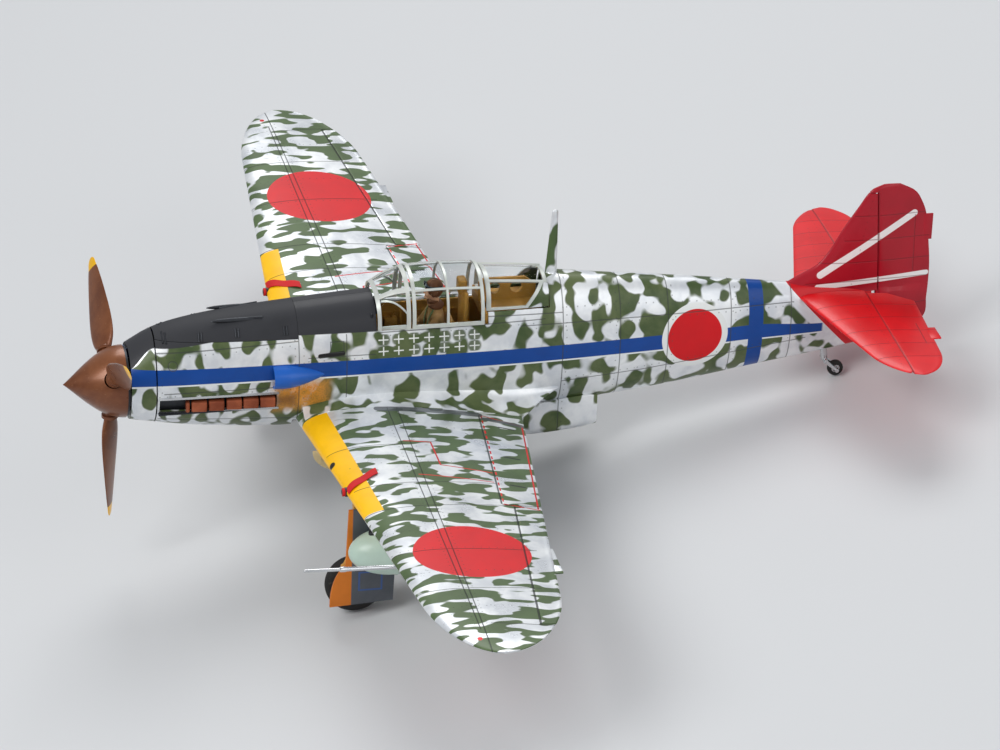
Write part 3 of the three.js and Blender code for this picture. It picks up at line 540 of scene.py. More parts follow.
def wingPaint(name, mottled=True):
    paint = Paint(name)
    tree, top = paint.tree, paint.top
    base = silverBase(paint)
    metal = 0.75
    if mottled:
        pattern = mapped(tree, paint.place, (0.46, 0.18, 0.34), (0, 0, 0.1), (3.1, 1.7, 0))
        green = useGroup(tree, mottleGroup, {"Place": pattern, "Cover": 0.515, "Soft": 0.022, "Swirl": 0.4})
        base = paint.over(base, green, paint.colour(mottleGreen, 0.15))
        metal = ramp(tree, green, 0.2, 0.8, 0.45, 0.05)
    bandEdge = calc(tree, "SUBTRACT", paint.y, calc(tree, "ADD", paint.times(paint.outward, 0.0523), 52.67))
    band = paint.times(ramp(tree, bandEdge, -0.06, 0.06, 1, 0), paint.patch(top, (36, 50), (24.2, 20)))
    base = paint.over(base, band, paint.colour(bandYellow, 0.06))
    discMask = paint.disc(top, (82.3, 69), 11.65)
    base = paint.over(base, discMask, paint.colour(signalRed, 0.06))
    painted = paint.most([band, discMask])
    seams = paint.strokes(top, [
        ((12, 65.8), (116, 63.4)), ((12, 67.9), (125.7, 63.8)), ((80.1, 50), (81.6, 82)),
        ((113.7, 66), (115.2, 79.1)), ((60.5, 51), (60.5, 90)), ((30, 50), (31, 66)), ((49, 52), (50, 82)),
        ((98, 53), (99, 79)), ((15.4, 84.7), (59.6, 79.9), 0.35), ((60.9, 82.2), (114.6, 75.4), 0.35)])
    rows = paint.rivetRows(top, [
        ((13, 64.9), (117, 62.6)), ((13, 68.8), (117, 64.9)), ((71, 54), (72, 80)), ((90, 54), (91, 79)),
        ((39, 53), (40, 82)), ((22, 54), (23, 84)), ((106, 57), (107, 77)), ((79.4, 52), (80.9, 81))])
    paint.lower(seams, 0.9)
    paint.raised(rows, 0.3)
    base = mix(tree, paint.times(seams, 0.85), base, lineDark, "MULTIPLY")
    base = mix(tree, paint.times(rows, 0.5), base, lineDark, "MULTIPLY")
    if mottled:
        red = paint.strokes(top, [
            ((29.4, 66), (30.3, 71.4)), ((30.3, 71.4), (41.4, 71.2)), ((41.4, 71.2), (44.7, 81.2)),
            ((45.8, 65.9), (49.3, 80.5)), ((15.6, 85.2), (59.8, 80.3), 0.32, 2.4),
            ((59.8, 80.4), (62.0, 87.2)),
            ((15.4, 84.9), (20, 94)), ((20, 93), (61.5, 87)), ((119.4, 62.5), (119.6, 62.5), 1.0)], 0.32)
        base = paint.over(base, red, signalRed)
        marks = paint.strokes(top, [
            ((21, 87.8), (21.8, 90.8)), ((36.3, 85.6), (37.1, 88.6)), ((50.3, 83.8), (51.1, 86.6))], 0.5)
        walk = paint.most([paint.stroke(top, (13.2, 64), (15.2, 84.4), 2.2),
                           paint.stroke(top, (17.2, 85.6), (19.4, 93), 1.6)])
        base = paint.over(base, paint.times(walk, 0.85), shade(78, 84, 90))
        port = paint.disc(mapped(tree, top, (0.6, 1, 1)), (34.2 * 0.6, 50.3), 0.55)
        base = paint.over(base, paint.most([marks, port]), shade(24, 24, 26))
    metal = calc(tree, "MULTIPLY", metal, calc(tree, "SUBTRACT", 1.0, painted))
    rough = ramp(tree, metal, 0.0, 0.45, 0.42, 0.3)
    return paint.done(base, rough, metal, coat=0.15)


bodyMarks = {"roundel": (133, 4.5), "rim": 7.3, "spot": 6.0, "tallyStart": 65.7, "tallyPitch": 3.21}


def fuselagePaint(name, zone):
    # zone is nose, middle or rear: the same paint with the markings that lie there
    paint = Paint(name)
    tree, side = paint.tree, paint.side
    pattern = mapped(tree, paint.place, (0.36, 0.3, 0.23), (0.45, 0, 0), (0.4, 0.3, 2.2))
    green = useGroup(tree, mottleGroup, {"Place": pattern, "Cover": 0.505, "Soft": 0.04, "Swirl": 0.4})
    greenTint = mix(tree, ramp(tree, paint.tone, 0.35, 0.65), shade(64, 82, 46), shade(94, 106, 68))
    silver = silverBase(paint)
    base = paint.over(silver, green, greenTint)
    metal = ramp(tree, green, 0.2, 0.8, 0.45, 0.05)
    rough = 0.36
    painted = []
    if zone == "nose":
        rise = calc(tree, "ADD", ramp(tree, paint.y, 12, 18.5, 5, 9.4), ramp(tree, paint.y, 18.5, 38, 0, 1.9))
        lip = calc(tree, "SUBTRACT", paint.z, rise)
        nosePanel = ramp(tree, lip, -0.08, 0.08)
        base = paint.over(base, nosePanel, shade(46, 47, 51))
        heat = paint.times(paint.patch(side, (48.6, -1.8), (5.6, 3.2), 1.6),
                           ramp(tree, paint.grain, 0.3, 0.6, 0.6, 1))
        base = paint.over(base, heat, paint.colour(shade(214, 148, 62), 0.2))
        soot = paint.patch(side, (45.2, -2.6), (2.4, 1.4), 1.2)
        base = paint.over(base, paint.times(soot, 0.75), shade(96, 62, 36))
        # a near-black stroke of painted shade stands in for the dark mouth of a small scoop
        scoopMouthShade = paint.stroke(side, (52.4, 6.9), (57.2, 7.3), 0.95)
        base = paint.over(base, scoopMouthShade, shade(26, 26, 28))
        painted += [nosePanel, scoopMouthShade]
        rough = ramp(tree, nosePanel, 0, 1, 0.34, 0.6)
        seams = paint.strokes(side, [((48, -20), (48, 11.2)), ((58, -20), (58, 11)),
                                     ((18.5, 8.6), (48, 10.2)),
                                     ((20, 0.4), (47, 0.6)), ((19, -6.2), (48, -7.6)),
                                     ((50, 6.6), (64, 6.6))])
        rows = paint.rivetRows(side, [((47.2, -20), (47.2, 11)), ((19.5, -20), (19.5, 8)),
                                      ((19, 7.8), (47, 9.4)),
                                      ((19, -0.2), (47, -0.1)), ((49, -20), (49, 11)),
                                      ((50, 5.9), (64, 5.9))])
        hatch = calc(tree, "SUBTRACT", paint.disc(side, (21.8, 6.3), 1.05),
                     paint.disc(side, (21.8, 6.3), 0.85))
        door = calc(tree, "SUBTRACT", paint.patch(side, (56, 8.6), (1.5, 1.2)),
                    paint.patch(side, (56, 8.6), (1.3, 1.0)))
        seams = paint.most([seams, hatch, door])
    elif zone == "middle":
        # two rows of small crosses below the cockpit
        start, pitch = bodyMarks["tallyStart"], bodyMarks["tallyPitch"]
        travel = calc(tree, "FRACT", calc(tree, "DIVIDE", calc(tree, "SUBTRACT", paint.y,
                                                               start - pitch / 2), pitch))
        slide = paint.times(calc(tree, "SUBTRACT", travel, 0.5), pitch)
        for level in (9.5, 7.1):
            cell = joinedVector(tree, slide, calc(tree, "SUBTRACT", paint.z, level))
            cross = paint.most(paint.patch(cell, (0, 0), half, 0.06) for half in ((1.05, 0.13), (0.13, 0.95)))
            row = paint.patch(side, (start + 3 * pitch, level), (3.5 * pitch, 1.15))
            spot = ramp(tree, vectorCalc(tree, "LENGTH", cell, output=1), 1.1, 1.7, 0.9, 0)
            base = paint.over(base, paint.times(spot, row), greenTint)
            base = paint.over(base, paint.times(cross, row), shade(238, 240, 236))
        seams = paint.strokes(side, [((104, -20), (104, 20)), ((116.5, -20), (116.5, 20)),
                                     ((95, 10.5), (121, 10.1)),
                                     ((64, 11), (100, 11.6)), ((88, 12.9), (104, 12.6)),
                                     ((104, -3), (121, -2.1))])
        rows = paint.rivetRows(side, [((104.8, -20), (104.8, 20)), ((115.6, -20), (115.6, 20)),
                                      ((95, 9.8), (121, 9.5)),
                                      ((64, 10.3), (100, 10.9)), ((104, -2.2), (121, -1.5)),
                                      ((104, 13.6), (121, 13))])
    else:
        # red of the tail with bare metal just ahead of it
        tailEdge = calc(tree, "SUBTRACT", paint.y, calc(tree, "SUBTRACT", 165.6, paint.times(paint.z, 0.9)))
        base = paint.over(base, ramp(tree, tailEdge, -3.2, -2.6), silver)
        red = ramp(tree, tailEdge, -0.08, 0.08)
        base = paint.over(base, red, paint.colour(shade(204, 8, 24), 0.06))
        painted.append(red)
        seams = paint.strokes(side, [((127, -20), (127, 20)), ((141, -20), (141, 20)),
                                     ((154.5, -20), (154.5, 20)),
                                     ((119, 10.1), (155, 9.6)), ((119, -2.3), (158, 1))])
        rows = paint.rivetRows(side, [((128, -20), (128, 20)), ((142, -20), (142, 20)),
                                      ((119, 9.5), (155, 8.9)),
                                      ((119, -1.6), (158, 1.8)), ((119, 13), (150, 11))])
    # stripe along the side with a thin white edge
    narrow = ramp(tree, paint.y, 145, 163, 0, 1)
    middle = calc(tree, "SUBTRACT", 3.95, paint.times(narrow, 0.85))
    halfStripe = calc(tree, "SUBTRACT", 1.65, paint.times(narrow, 0.65))
    off = calc(tree, "ABSOLUTE", calc(tree, "SUBTRACT", paint.z, middle))
    ahead = ramp(tree, paint.y, 161.5, 162, 1, 0)
    stripe = paint.times(ramp(tree, calc(tree, "SUBTRACT", off, halfStripe), -0.06, 0.06, 1, 0), ahead)
    whiteEdge = calc(tree, "SUBTRACT", calc(tree, "SUBTRACT", middle, halfStripe), paint.z)
    white = paint.times(ramp(tree, whiteEdge, -0.05, 0.05), ramp(tree, whiteEdge, 0.3, 0.4, 1, 0))
    base = paint.over(base, paint.times(white, ahead), shade(235, 238, 238))
    if zone == "rear":
        belt = paint.times(ramp(tree, paint.y, 144.95, 145.05), ramp(tree, paint.y, 148.15, 148.25, 1, 0))
        stripe = paint.most([stripe, belt])
    base = paint.over(base, stripe, paint.colour(stripeBlue, 0.08))
    painted.append(stripe)
    if zone == "rear":
        rim = paint.disc(side, bodyMarks["roundel"], bodyMarks["rim"])
        base = paint.over(base, rim, shade(236, 238, 236))
        base = paint.over(base, paint.disc(side, bodyMarks["roundel"], bodyMarks["spot"]),
                          paint.colour(signalRed, 0.05))
        painted.append(rim)
    paint.lower(seams, 0.9)
    paint.raised(rows, 0.3)
    base = paint.over(base, paint.times(seams, 0.7), shade(58, 62, 58))
    base = paint.over(base, paint.times(rows, 0.45), shade(58, 62, 58))
    metal = calc(tree, "MULTIPLY", metal, calc(tree, "SUBTRACT", 1.0, paint.most(painted)))
    return paint.done(base, rough, metal, coat=0.1)


def tailPaint(name, colour, stripes):
    paint = Paint(name)
    base = paint.colour(colour, 0.08)
    side, top = paint.side, paint.top
    if stripes:
        # a plain pair of slanting white stripes
        bars = paint.most([
            paint.stroke(side, (161, 14.5), (181, 27.5), 1.5),
            paint.stroke(side, (160.5, 11.8), (184.6, 13.2), 1.2)])
        base = paint.over(base, bars, shade(240, 240, 238))
        seams = paint.strokes(side, [((y0, z), (y1, z)) for y0, y1, z in (
            (160, 185, 17), (166, 184.6, 22), (158, 185.3, 12.6), (168, 184, 27.5), (176, 185, 6.5))]
            + [((174.7, -0.6), (172.8, 33), 0.4), ((181.6, 14), (181.3, 27), 0.24)])
        rows = paint.rivets(side, (168, 12), (171.5, 31))
    else:
        seams = paint.strokes(top, [((x, 156 + 0.265 * x), (x, 181)) for x in (9, 15, 21, 27, 33)]
                              + [((3, 170.6), (40, 170.6), 0.4), ((18, 177.4), (27, 177.1), 0.24)])
        rows = paint.most([paint.rivets(top, (4, 168.9), (38, 168.9)),
                           paint.rivets(top, (4, 163), (30, 167))])
    paint.lower(seams, 0.9)
    paint.raised(rows, 0.3)
    base = paint.over(base, paint.times(seams, 0.55), shade(110, 10, 22))
    base = paint.over(base, paint.times(rows, 0.35), shade(110, 10, 22))
    return paint.done(base, 0.36, 0.0, coat=0.2)


def mastPaint(name):
    paint = Paint(name)
    pattern = mapped(paint.tree, paint.place, (0.3, 0.3, 0.17), (0.3, 0, 0), (0.2, 0.5, 0.3))
    green = useGroup(paint.tree, mottleGroup, {"Place": pattern, "Cover": 0.49, "Soft": 0.04, "Swirl": 0.4})
    base = paint.over(silverBase(paint), green, paint.colour(mottleGreen, 0.15))
    return paint.done(base, 0.38, ramp(paint.tree, green, 0.2, 0.8, 0.5, 0.05))


def propellerPaint(name):
    paint = Paint(name)
    tree = paint.tree
    base = mix(tree, ramp(tree, paint.tone, 0.3, 0.7), shade(100, 54, 30), shade(130, 78, 46))
    radial = vectorCalc(tree, "LENGTH", joinedVector(tree, paint.x, paint.z), output=1)
    base = paint.over(base, ramp(tree, radial, 28.55, 28.7), bandYellow)
    base = paint.over(base, paint.times(paint.scratch, 0.18), shade(196, 150, 112))
    return paint.done(base, 0.3, 0.25, coat=0.3)


def glassFinish(name):
    paint = Paint(name)
    shader = paint.shader
    shader.inputs["Transmission Weight"].default_value = 1.0
    shader.inputs["IOR"].default_value = 1.05
    tint = mix(paint.tree, ramp(paint.tree, paint.tone, 0.3, 0.7), shade(246, 250, 250), shade(255, 255, 255))
    wire(paint.tree, tint, shader.inputs["Base Color"])
    smear = ramp(paint.tree, paint.tone, 0.35, 0.75, 0.02, 0.08)
    wire(paint.tree, smear, shader.inputs["Roughness"])
    return paint.material


def doorFinish(name):
    paint = Paint(name)
    tree, side = paint.tree, paint.side
    base = paint.colour(shade(92, 96, 102), 0.12)
    base = paint.over(base, ramp(tree, paint.y, 52.2, 52.4, 1, 0), paint.colour(shade(214, 122, 44), 0.1))
    edge = calc(tree, "SUBTRACT", paint.patch(side, (56.2, -25), (2.5, 2.2)),
                paint.patch(side, (56.2, -25), (2.15, 1.85)))
    base = paint.over(base, edge, shade(70, 96, 150))
    base = paint.over(base, paint.disc(side, (54.6, -18.6), 0.45), shade(235, 235, 230))
    return paint.done(base, 0.38, 0.4)


def tyreFinish(name):
    paint = Paint(name)
    base = paint.colour(shade(38, 37, 36), 0.25)
    base = paint.over(base, paint.times(paint.scratch, 0.35), shade(96, 90, 82))
    return paint.done(base, 0.78, 0.0, strength=0.8)


def exhaustFinish(name):
    paint = Paint(name)
    base = mix(paint.tree, ramp(paint.tree, paint.tone, 0.35, 0.65), shade(128, 62, 38), shade(172, 94, 62))
    base = paint.over(base, paint.times(paint.scratch, 0.4), shade(74, 46, 36))
    return paint.done(base, 0.55, 0.2)


finish = {
    "fuselage nose": fuselagePaint("fuselageNose", "nose"),
    "fuselage": fuselagePaint("fuselageMiddle", "middle"),
    "fuselage rear": fuselagePaint("fuselageRear", "rear"),
    "wing": wingPaint("wingCamouflage"),
    "underside": wingPaint("wingUnderside", False),
    "tailplane": tailPaint("tailplaneRed", shade(218, 8, 20), False),
    "fin": tailPaint("finRed", shade(168, 12, 34), True),
    "mast": mastPaint("mastMottle"),
    "propeller": propellerPaint("propellerBrown"),
    "glass": glassFinish("clearGlazing"),
    "metal": plainFinish("polishedMetal", shade(208, 210, 212), 0.2, 0.95, 0.06),
    "silver": plainFinish("frameSilver", shade(206, 210, 204), 0.38, 0.35, 0.06),
    "ochre": plainFinish("cockpitOchre", shade(168, 124, 54), 0.55, 0.1, 0.2, dirt=0.4),
    "black": plainFinish("antiGlare", shade(46, 47, 51), 0.62, 0.0, 0.12, strength=0.3),
    "dark": plainFinish("darkMetal", shade(58, 60, 64), 0.42, 0.7, 0.2),
    "blue": plainFinish("intakeBlue", shade(28, 96, 190), 0.35, 0.0, 0.06, coat=0.2),
    "gear": plainFinish("gearOchre", shade(198, 146, 66), 0.5, 0.05, 0.12, dirt=0.3),
    "cream": plainFinish("doorCream", shade(216, 196, 150), 0.5, 0.05, 0.1, dirt=0.3),
    "door": doorFinish("wheelDoor"),
    "tyre": tyreFinish("tyreRubber"),
    "tank": plainFinish("tankGreyGreen", shade(184, 206, 192), 0.34, 0.0, 0.05, coat=0.25),
    "exhaust": exhaustFinish("exhaustRust"),
    "suit": plainFinish("flyingSuit", shade(150, 116, 72), 0.85, 0.0, 0.22),
    "leather": plainFinish("helmetLeather", shade(96, 60, 36), 0.6, 0.0, 0.2),
    "skin": plainFinish("figureSkin", shade(206, 158, 124), 0.6, 0.0, 0.06),
    "strap": plainFinish("strapGreen", shade(92, 104, 66), 0.8, 0.0, 0.15),
    "lens": plainFinish("goggleLens", shade(60, 70, 74), 0.12, 0.3, 0.1),
    "ribbon": plainFinish("ribbonRed", shade(196, 30, 34), 0.7, 0.0, 0.15),
    "tank cap": plainFinish("capBlack", shade(34, 34, 36), 0.4, 0.2, 0.15),
}
print("finishes made:", len(finish))

# Ends of the rudder's hinge line, as (y, z)
rudderLow, rudderHigh = (174.9, -0.6), (172.9, 33)

# Fuselage
fuselage = {
    "top": [[13, 7.9], [18.4, 11.2], [26, 13.3], [37, 14.8], [50, 16], [63.5, 17], [88, 18.7], [101, 19],
            [112, 17.8], [133, 15.5], [155, 12.9], [166, 12.2], [174, 11.6]],
    "bottom": [[13, -7.9], [18.4, -8.9], [26, -10.1], [37, -11.2], [50, -11.8], [76, -12], [101, -11],
               [125, -8.9], [147, -5.8], [166, -3], [174, -1.5]],
    "width": [[13, 7.9], [18.4, 8.2], [26, 8.45], [50, 8.75], [88, 8.6], [101, 8.2], [125, 6.6],
              [147, 4.4], [166, 2.3], [174, 0.9]],
    "belt": [[13, 0], [50, 1.2], [101, 2], [140, 4], [174, 6]],
    "square": [[13, 2], [37, 2.25], [101, 2.3], [174, 2]],
    "columns": 112, "wall": 0.7, "seam": 18.5, "cowlRear": 48, "cowlEdge": 10.6,
    "cockpitFront": 64.4, "cockpitRear": 88, "cockpitBack": 101.2, "sill": 11.4, "deck": 13.8,
    "start": 13.3, "end": 173.6, "rearPaint": 120, "rudderRoom": 1.65,
    "exhaustStart": 19, "exhaustEnd": 43.4, "exhaustLow": -4.2, "exhaustHigh": -0.9,
    "wingStart": 47.1, "wingEnd": 96.6, "wingHigh": -8.4,
}


def hullPoint(u, y, inset=0.0):
    top = smoothAlong(fuselage["top"], y) - inset
    bottom = smoothAlong(fuselage["bottom"], y) + inset
    width = smoothAlong(fuselage["width"], y) - inset
    belt = smoothAlong(fuselage["belt"], y)
    power = 2 / smoothAlong(fuselage["square"], y)
    angle = u * fullTurn
    across = math.copysign(abs(math.sin(angle)) ** power, math.sin(angle))
    rise = math.copysign(abs(math.cos(angle)) ** power, math.cos(angle))
    return Vector((width * across, y, belt + rise * (top - belt if rise > 0 else belt - bottom)))


def hullSkin(front, rear, inset=0.0, columns=None):
    bm = bmesh.new()
    rows = steps(front, rear, max(int((rear - front) / 1.6), 2))
    sheet(bm, columns or fuselage["columns"], rows, lambda u, y: hullPoint(u, y, inset))
    clean(bm)
    return bm


def wallIn(bm, thickness):
    clean(bm)
    bmesh.ops.solidify(bm, geom=bm.faces[:], thickness=thickness)


def buildFuselage():
    f = fuselage
    bm = hullSkin(f["seam"] + 0.1, f["end"])
    for station in ("cowlRear", "cockpitFront", "cockpitRear", "cockpitBack", "exhaustStart",
                    "exhaustEnd", "wingStart", "wingEnd", "rearPaint"):
        cutAcross(bm, (0, f[station], 0), (0, 1, 0))
    for level in ("cowlEdge", "sill", "deck", "exhaustLow", "exhaustHigh", "wingHigh"):
        cutAcross(bm, (0, 0, f[level]), (0, 0, 1))
    dropFaces(bm, lambda c: c.y < f["cowlRear"] and c.z > f["cowlEdge"])
    dropFaces(bm, lambda c: f["cockpitFront"] < c.y < f["cockpitRear"] and c.z > f["sill"])
    dropFaces(bm, lambda c: f["cockpitRear"] < c.y < f["cockpitBack"] and c.z > f["deck"])
    dropFaces(bm, lambda c: f["exhaustStart"] < c.y < f["exhaustEnd"]
              and f["exhaustLow"] < c.z < f["exhaustHigh"])
    dropFaces(bm, lambda c: f["wingStart"] < c.y < f["wingEnd"] and c.z < f["wingHigh"])
    cutAcross(bm, (0.04, 0, 0), (1, 0, 0), dropBack=True)
    # the rear end follows the rudder's hinge line, with room for its nose to swing
    endWay = Vector((0, rudderHigh[1] - rudderLow[1], rudderLow[0] - rudderHigh[0])).normalized()
    cutAcross(bm, (0, rudderLow[0] - f["rudderRoom"], rudderLow[1]), endWay, dropFront=True)
    wallIn(bm, f["wall"])
    for face in bm.faces:
        y = face.calc_center_median().y
        face.material_index = 0 if y < f["cockpitFront"] else 1 if y < f["rearPaint"] else 2
    # troughs that the exhausts lie in
    trough = bmesh.new()
    block(trough, (5.7, 18.8, -4.4), (6.3, 43.6, -0.7), 0.1)
    block(trough, (6.2, 18.8, -4.6), (8.1, 43.7, -4.26), 0.05)
    block(trough, (6.2, 18.8, -0.84), (8.1, 43.7, -0.5), 0.05)
    makePair("fuselage", bm, "airframe", ["fuselage"], "camouflage",
             [finish["fuselage nose"], finish["fuselage"], finish["fuselage rear"]], rim=0.06)
    makePair("exhaustTrough", trough, "airframe", [], "exhaust_rust", finish["dark"])
    cowl = hullSkin(f["seam"] + 0.15, f["cowlRear"] - 0.05)
    cutAcross(cowl, (0, 0, f["cowlEdge"] + 0.06), (0, 0, 1), dropBack=True)
    wallIn(cowl, f["wall"])
    makePiece("engineCowl", cowl, "airframe", ["engine_cowl"], "anti_glare_black", finish["black"], rim=0.08)
    ring = hullSkin(f["start"], f["seam"] - 0.15)
    wallIn(ring, 1.6)
    makePiece("noseRing", ring, "airframe", ["nose_ring"], "polished_metal", finish["fuselage nose"], rim=0.1)


cowlLip = [[12, 5], [18.2, 9.4], [26.8, 10.4], [34.7, 11.1], [45.3, 11.3], [50, 11.4]]


def skinSpot(y, z, inset=0.0):
    # the skin's point at this height on the port side
    best = min((abs(hullPoint(k / 400, y, inset).z - z), k) for k in range(10, 190))[1]
    return hullPoint(best / 400, y, inset)


def buildCowlFasteners():
    # upright latches along the lip of the dark cowl, and the gun troughs above them
    bm = bmesh.new()
    for y in (20.5, 27.8, 35.4, 45.4):
        lip = smoothAlong(cowlLip, y)
        for shift in (-0.3, 0.3):
            rod(bm, skinSpot(y + shift, lip + 0.2), skinSpot(y + shift, lip + 1.7), 0.22, 0.22, 10)
    ball(bm, skinSpot(36.5, 14.0, 0.1), (0.55, 6.2, 0.5), 24)
    rod(bm, skinSpot(33, 13.9), skinSpot(41, 14.4), 0.28, 0.28, 16)
    makePair("cowlFasteners", bm, "airframe", [], "anti_glare_black", finish["dark"])


exhaust = {"starts": (24.5, 25.7, 29.3, 33.0, 36.5, 40.0), "length": 3.2, "low": -3.95, "high": -1.75}


def buildExhausts():
    bm = bmesh.new()
    for number, y in enumerate(exhaust["starts"]):
        length = exhaust["length"] if number else 0.8
        made = block(bm, (6.5, y, exhaust["low"]), (8.85, y + length, exhaust["high"]), 0.3, 3)
        bmesh.ops.rotate(bm, verts=made, cent=(7.4, y + 1.5, -3), matrix=Matrix.Rotation(-0.1, 3, "Z"))
    makePair("exhaustStubs", bm, "airframe", ["exhaust_stubs"], "exhaust_rust",
             finish["exhaust"], angle=40)
    frameBm = bmesh.new()
    # a raised rim round the slot
    for low, high in (((0, 18.8, -0.9), (0, 43.8, -0.5)), ((0, 18.8, -4.6), (0, 43.8, -4.2))):
        rows = steps(low[1], high[1], 24)
        level = (low[2] + high[2]) / 2

        def rimPoint(u, y, level=level):
            z = level + (u - 0.5) * 0.5
            best = min((abs(hullPoint(t / 400, y).z - z), t) for t in range(60, 190))[1]
            spot = hullPoint(best / 400, y)
            return Vector((spot.x + 0.14, y, z))
        sheet(frameBm, 2, rows, rimPoint)
    wallIn(frameBm, 0.3)
    makePair("exhaustRim", frameBm, "airframe", [], "polished_metal", finish["metal"])


def buildIntake():
    bm = bmesh.new()
    sections = [[42.5, 1.0], [44, 1.02], [46, 1.0], [48.5, 0.8], [51, 0.5], [53.8, 0.06]]

    def skinPoint(u, y):
        size = smoothAlong(sections, y)
        angle = u * fullTurn
        return Vector((8.3 + 2.9 * size * math.cos(angle), y, 2.9 + 2.5 * size * math.sin(angle)))
    sheet(bm, 40, steps(42.5, 53.8, 24), skinPoint)
    clean(bm)
    bmesh.ops.solidify(bm, geom=bm.faces[:], thickness=0.45)
    cutAcross(bm, (7.4, 0, 0), (1, 0, 0), dropBack=True)
    makePiece("superchargerIntake", bm, "airframe", ["supercharger_intake"], "stripe_blue",
              finish["blue"], rim=0.06)
    throat = bmesh.new()
    rod(throat, (8.3, 43.6, 2.9), (8.3, 44.2, 2.9), 2.3, 2.3, 28)
    makePiece("intakeThroat", throat, "airframe", [], "dark_metal", finish["dark"])


buildFuselage()
buildCowlFasteners()
buildExhausts()
buildIntake()
print("fuselage made")

# Wings
wing = {
    "halfSpan": 125, "leadRoot": 47.35, "leadSlope": 0.0753, "trailRoot": 96.24, "trailSlope": -0.138,
    "rootHeight": -8.6, "dihedral": 0.0868, "rootRatio": 0.158, "tipRatio": 0.085,
    "tipStart": 103, "tipCentre": 66.5, "edge": 0.14, "columns": 36,
}
flapLine = ((12.4, 85.4), (60.3, 80.0))
aileronLine = ((60.9, 82.4), (114.6, 75.7))


def aerofoil(s):
    return 5 * (0.2969 * math.sqrt(max(s, 0)) - 0.126 * s - 0.3516 * s ** 2 + 0.2843 * s ** 3
                - 0.1036 * s ** 4)


def wingAt(x):
    w = wing
    tip = min(max((x - w["tipStart"]) / (w["halfSpan"] - w["tipStart"]), 0), 0.9985)
    shrink = math.sqrt(1 - tip * tip)
    lead = w["leadRoot"] + w["leadSlope"] * x
    trail = w["trailRoot"] + w["trailSlope"] * x
    ratio = blendValue(w["rootRatio"], w["tipRatio"], x / w["halfSpan"])
    return {
        "lead": w["tipCentre"] + (lead - w["tipCentre"]) * shrink,
        "trail": w["tipCentre"] + (trail - w["tipCentre"]) * shrink,
        "height": w["rootHeight"] + w["dihedral"] * x,
        "thick": ratio * (trail - lead) * max(shrink, 0.2),
    }


def foilHeight(here, s, sign):
    share = 1.12 if sign > 0 else 0.88
    half = here["thick"] * aerofoil(s)
    if s > 0.3:
        half = max(half, wing["edge"])
    return sign * share * half


def foilPoint(at, span, s, sign, turned=False):
    here = at(span)
    y = here["lead"] + s * (here["trail"] - here["lead"])
    lift = 0 if s >= 0.99999 else foilHeight(here, s, sign)
    if turned:
        return Vector((lift, y, span))
    return Vector((span, y, here["height"] + lift))


def frontPart(bm, at, spans, hingeShare, columns, turned=False, lowShare=None):
    # from the hinge line over the top, round the leading edge and back underneath
    def place(u, span):
        w = 1 - 2 * u
        share = hingeShare if w > 0 else lowShare or hingeShare
        return foilPoint(at, span, share(span) * w * w, 1 if w > 0 else -1, turned)
    sheet(bm, columns, spans, place)


def rearPart(bm, at, spans, hingeShare, columns, turned=False, lowShare=None):
    # from the hinge line to the trailing edge and back underneath
    def place(u, span):
        w = 1 - 2 * u
        front = (hingeShare if w > 0 else lowShare or hingeShare)(span)
        return foilPoint(at, span, front + (1 - front) * (1 - abs(w)), 1 if w > 0 else -1, turned)
    sheet(bm, columns, spans, place)


def closingWall(bm, at, spans, hingeShare, bulge, columns=10, turned=False, lowShare=None):
    # wall between the upper and the lower skin along the hinge line: hollow for a cove, full for a nose
    def place(u, span):
        high = foilPoint(at, span, hingeShare(span), 1, turned)
        low = foilPoint(at, span, (lowShare or hingeShare)(span), -1, turned)
        angle = u * math.pi
        middle, half = (high + low) / 2, (high - low) / 2
        depth = bulge * half.length * math.sin(angle)
        return middle + half * math.cos(angle) + Vector((0, -depth, 0))
    sheet(bm, columns, spans, place)


def hingeY(line, x):
    (x0, y0), (x1, y1) = line
    return y0 + (y1 - y0) * (x - x0) / (x1 - x0)


def wingHinge(x, shift):
    here = wingAt(x)
    y = hingeY(flapLine if x <= 60.31 else aileronLine, x) + shift
    return min(max((y - here["lead"]) / (here["trail"] - here["lead"]), 0.02), 0.995)


def tipSpans(start, end, count):
    return [start + (end - start) * math.sin(k / count * math.pi / 2) for k in range(count + 1)]


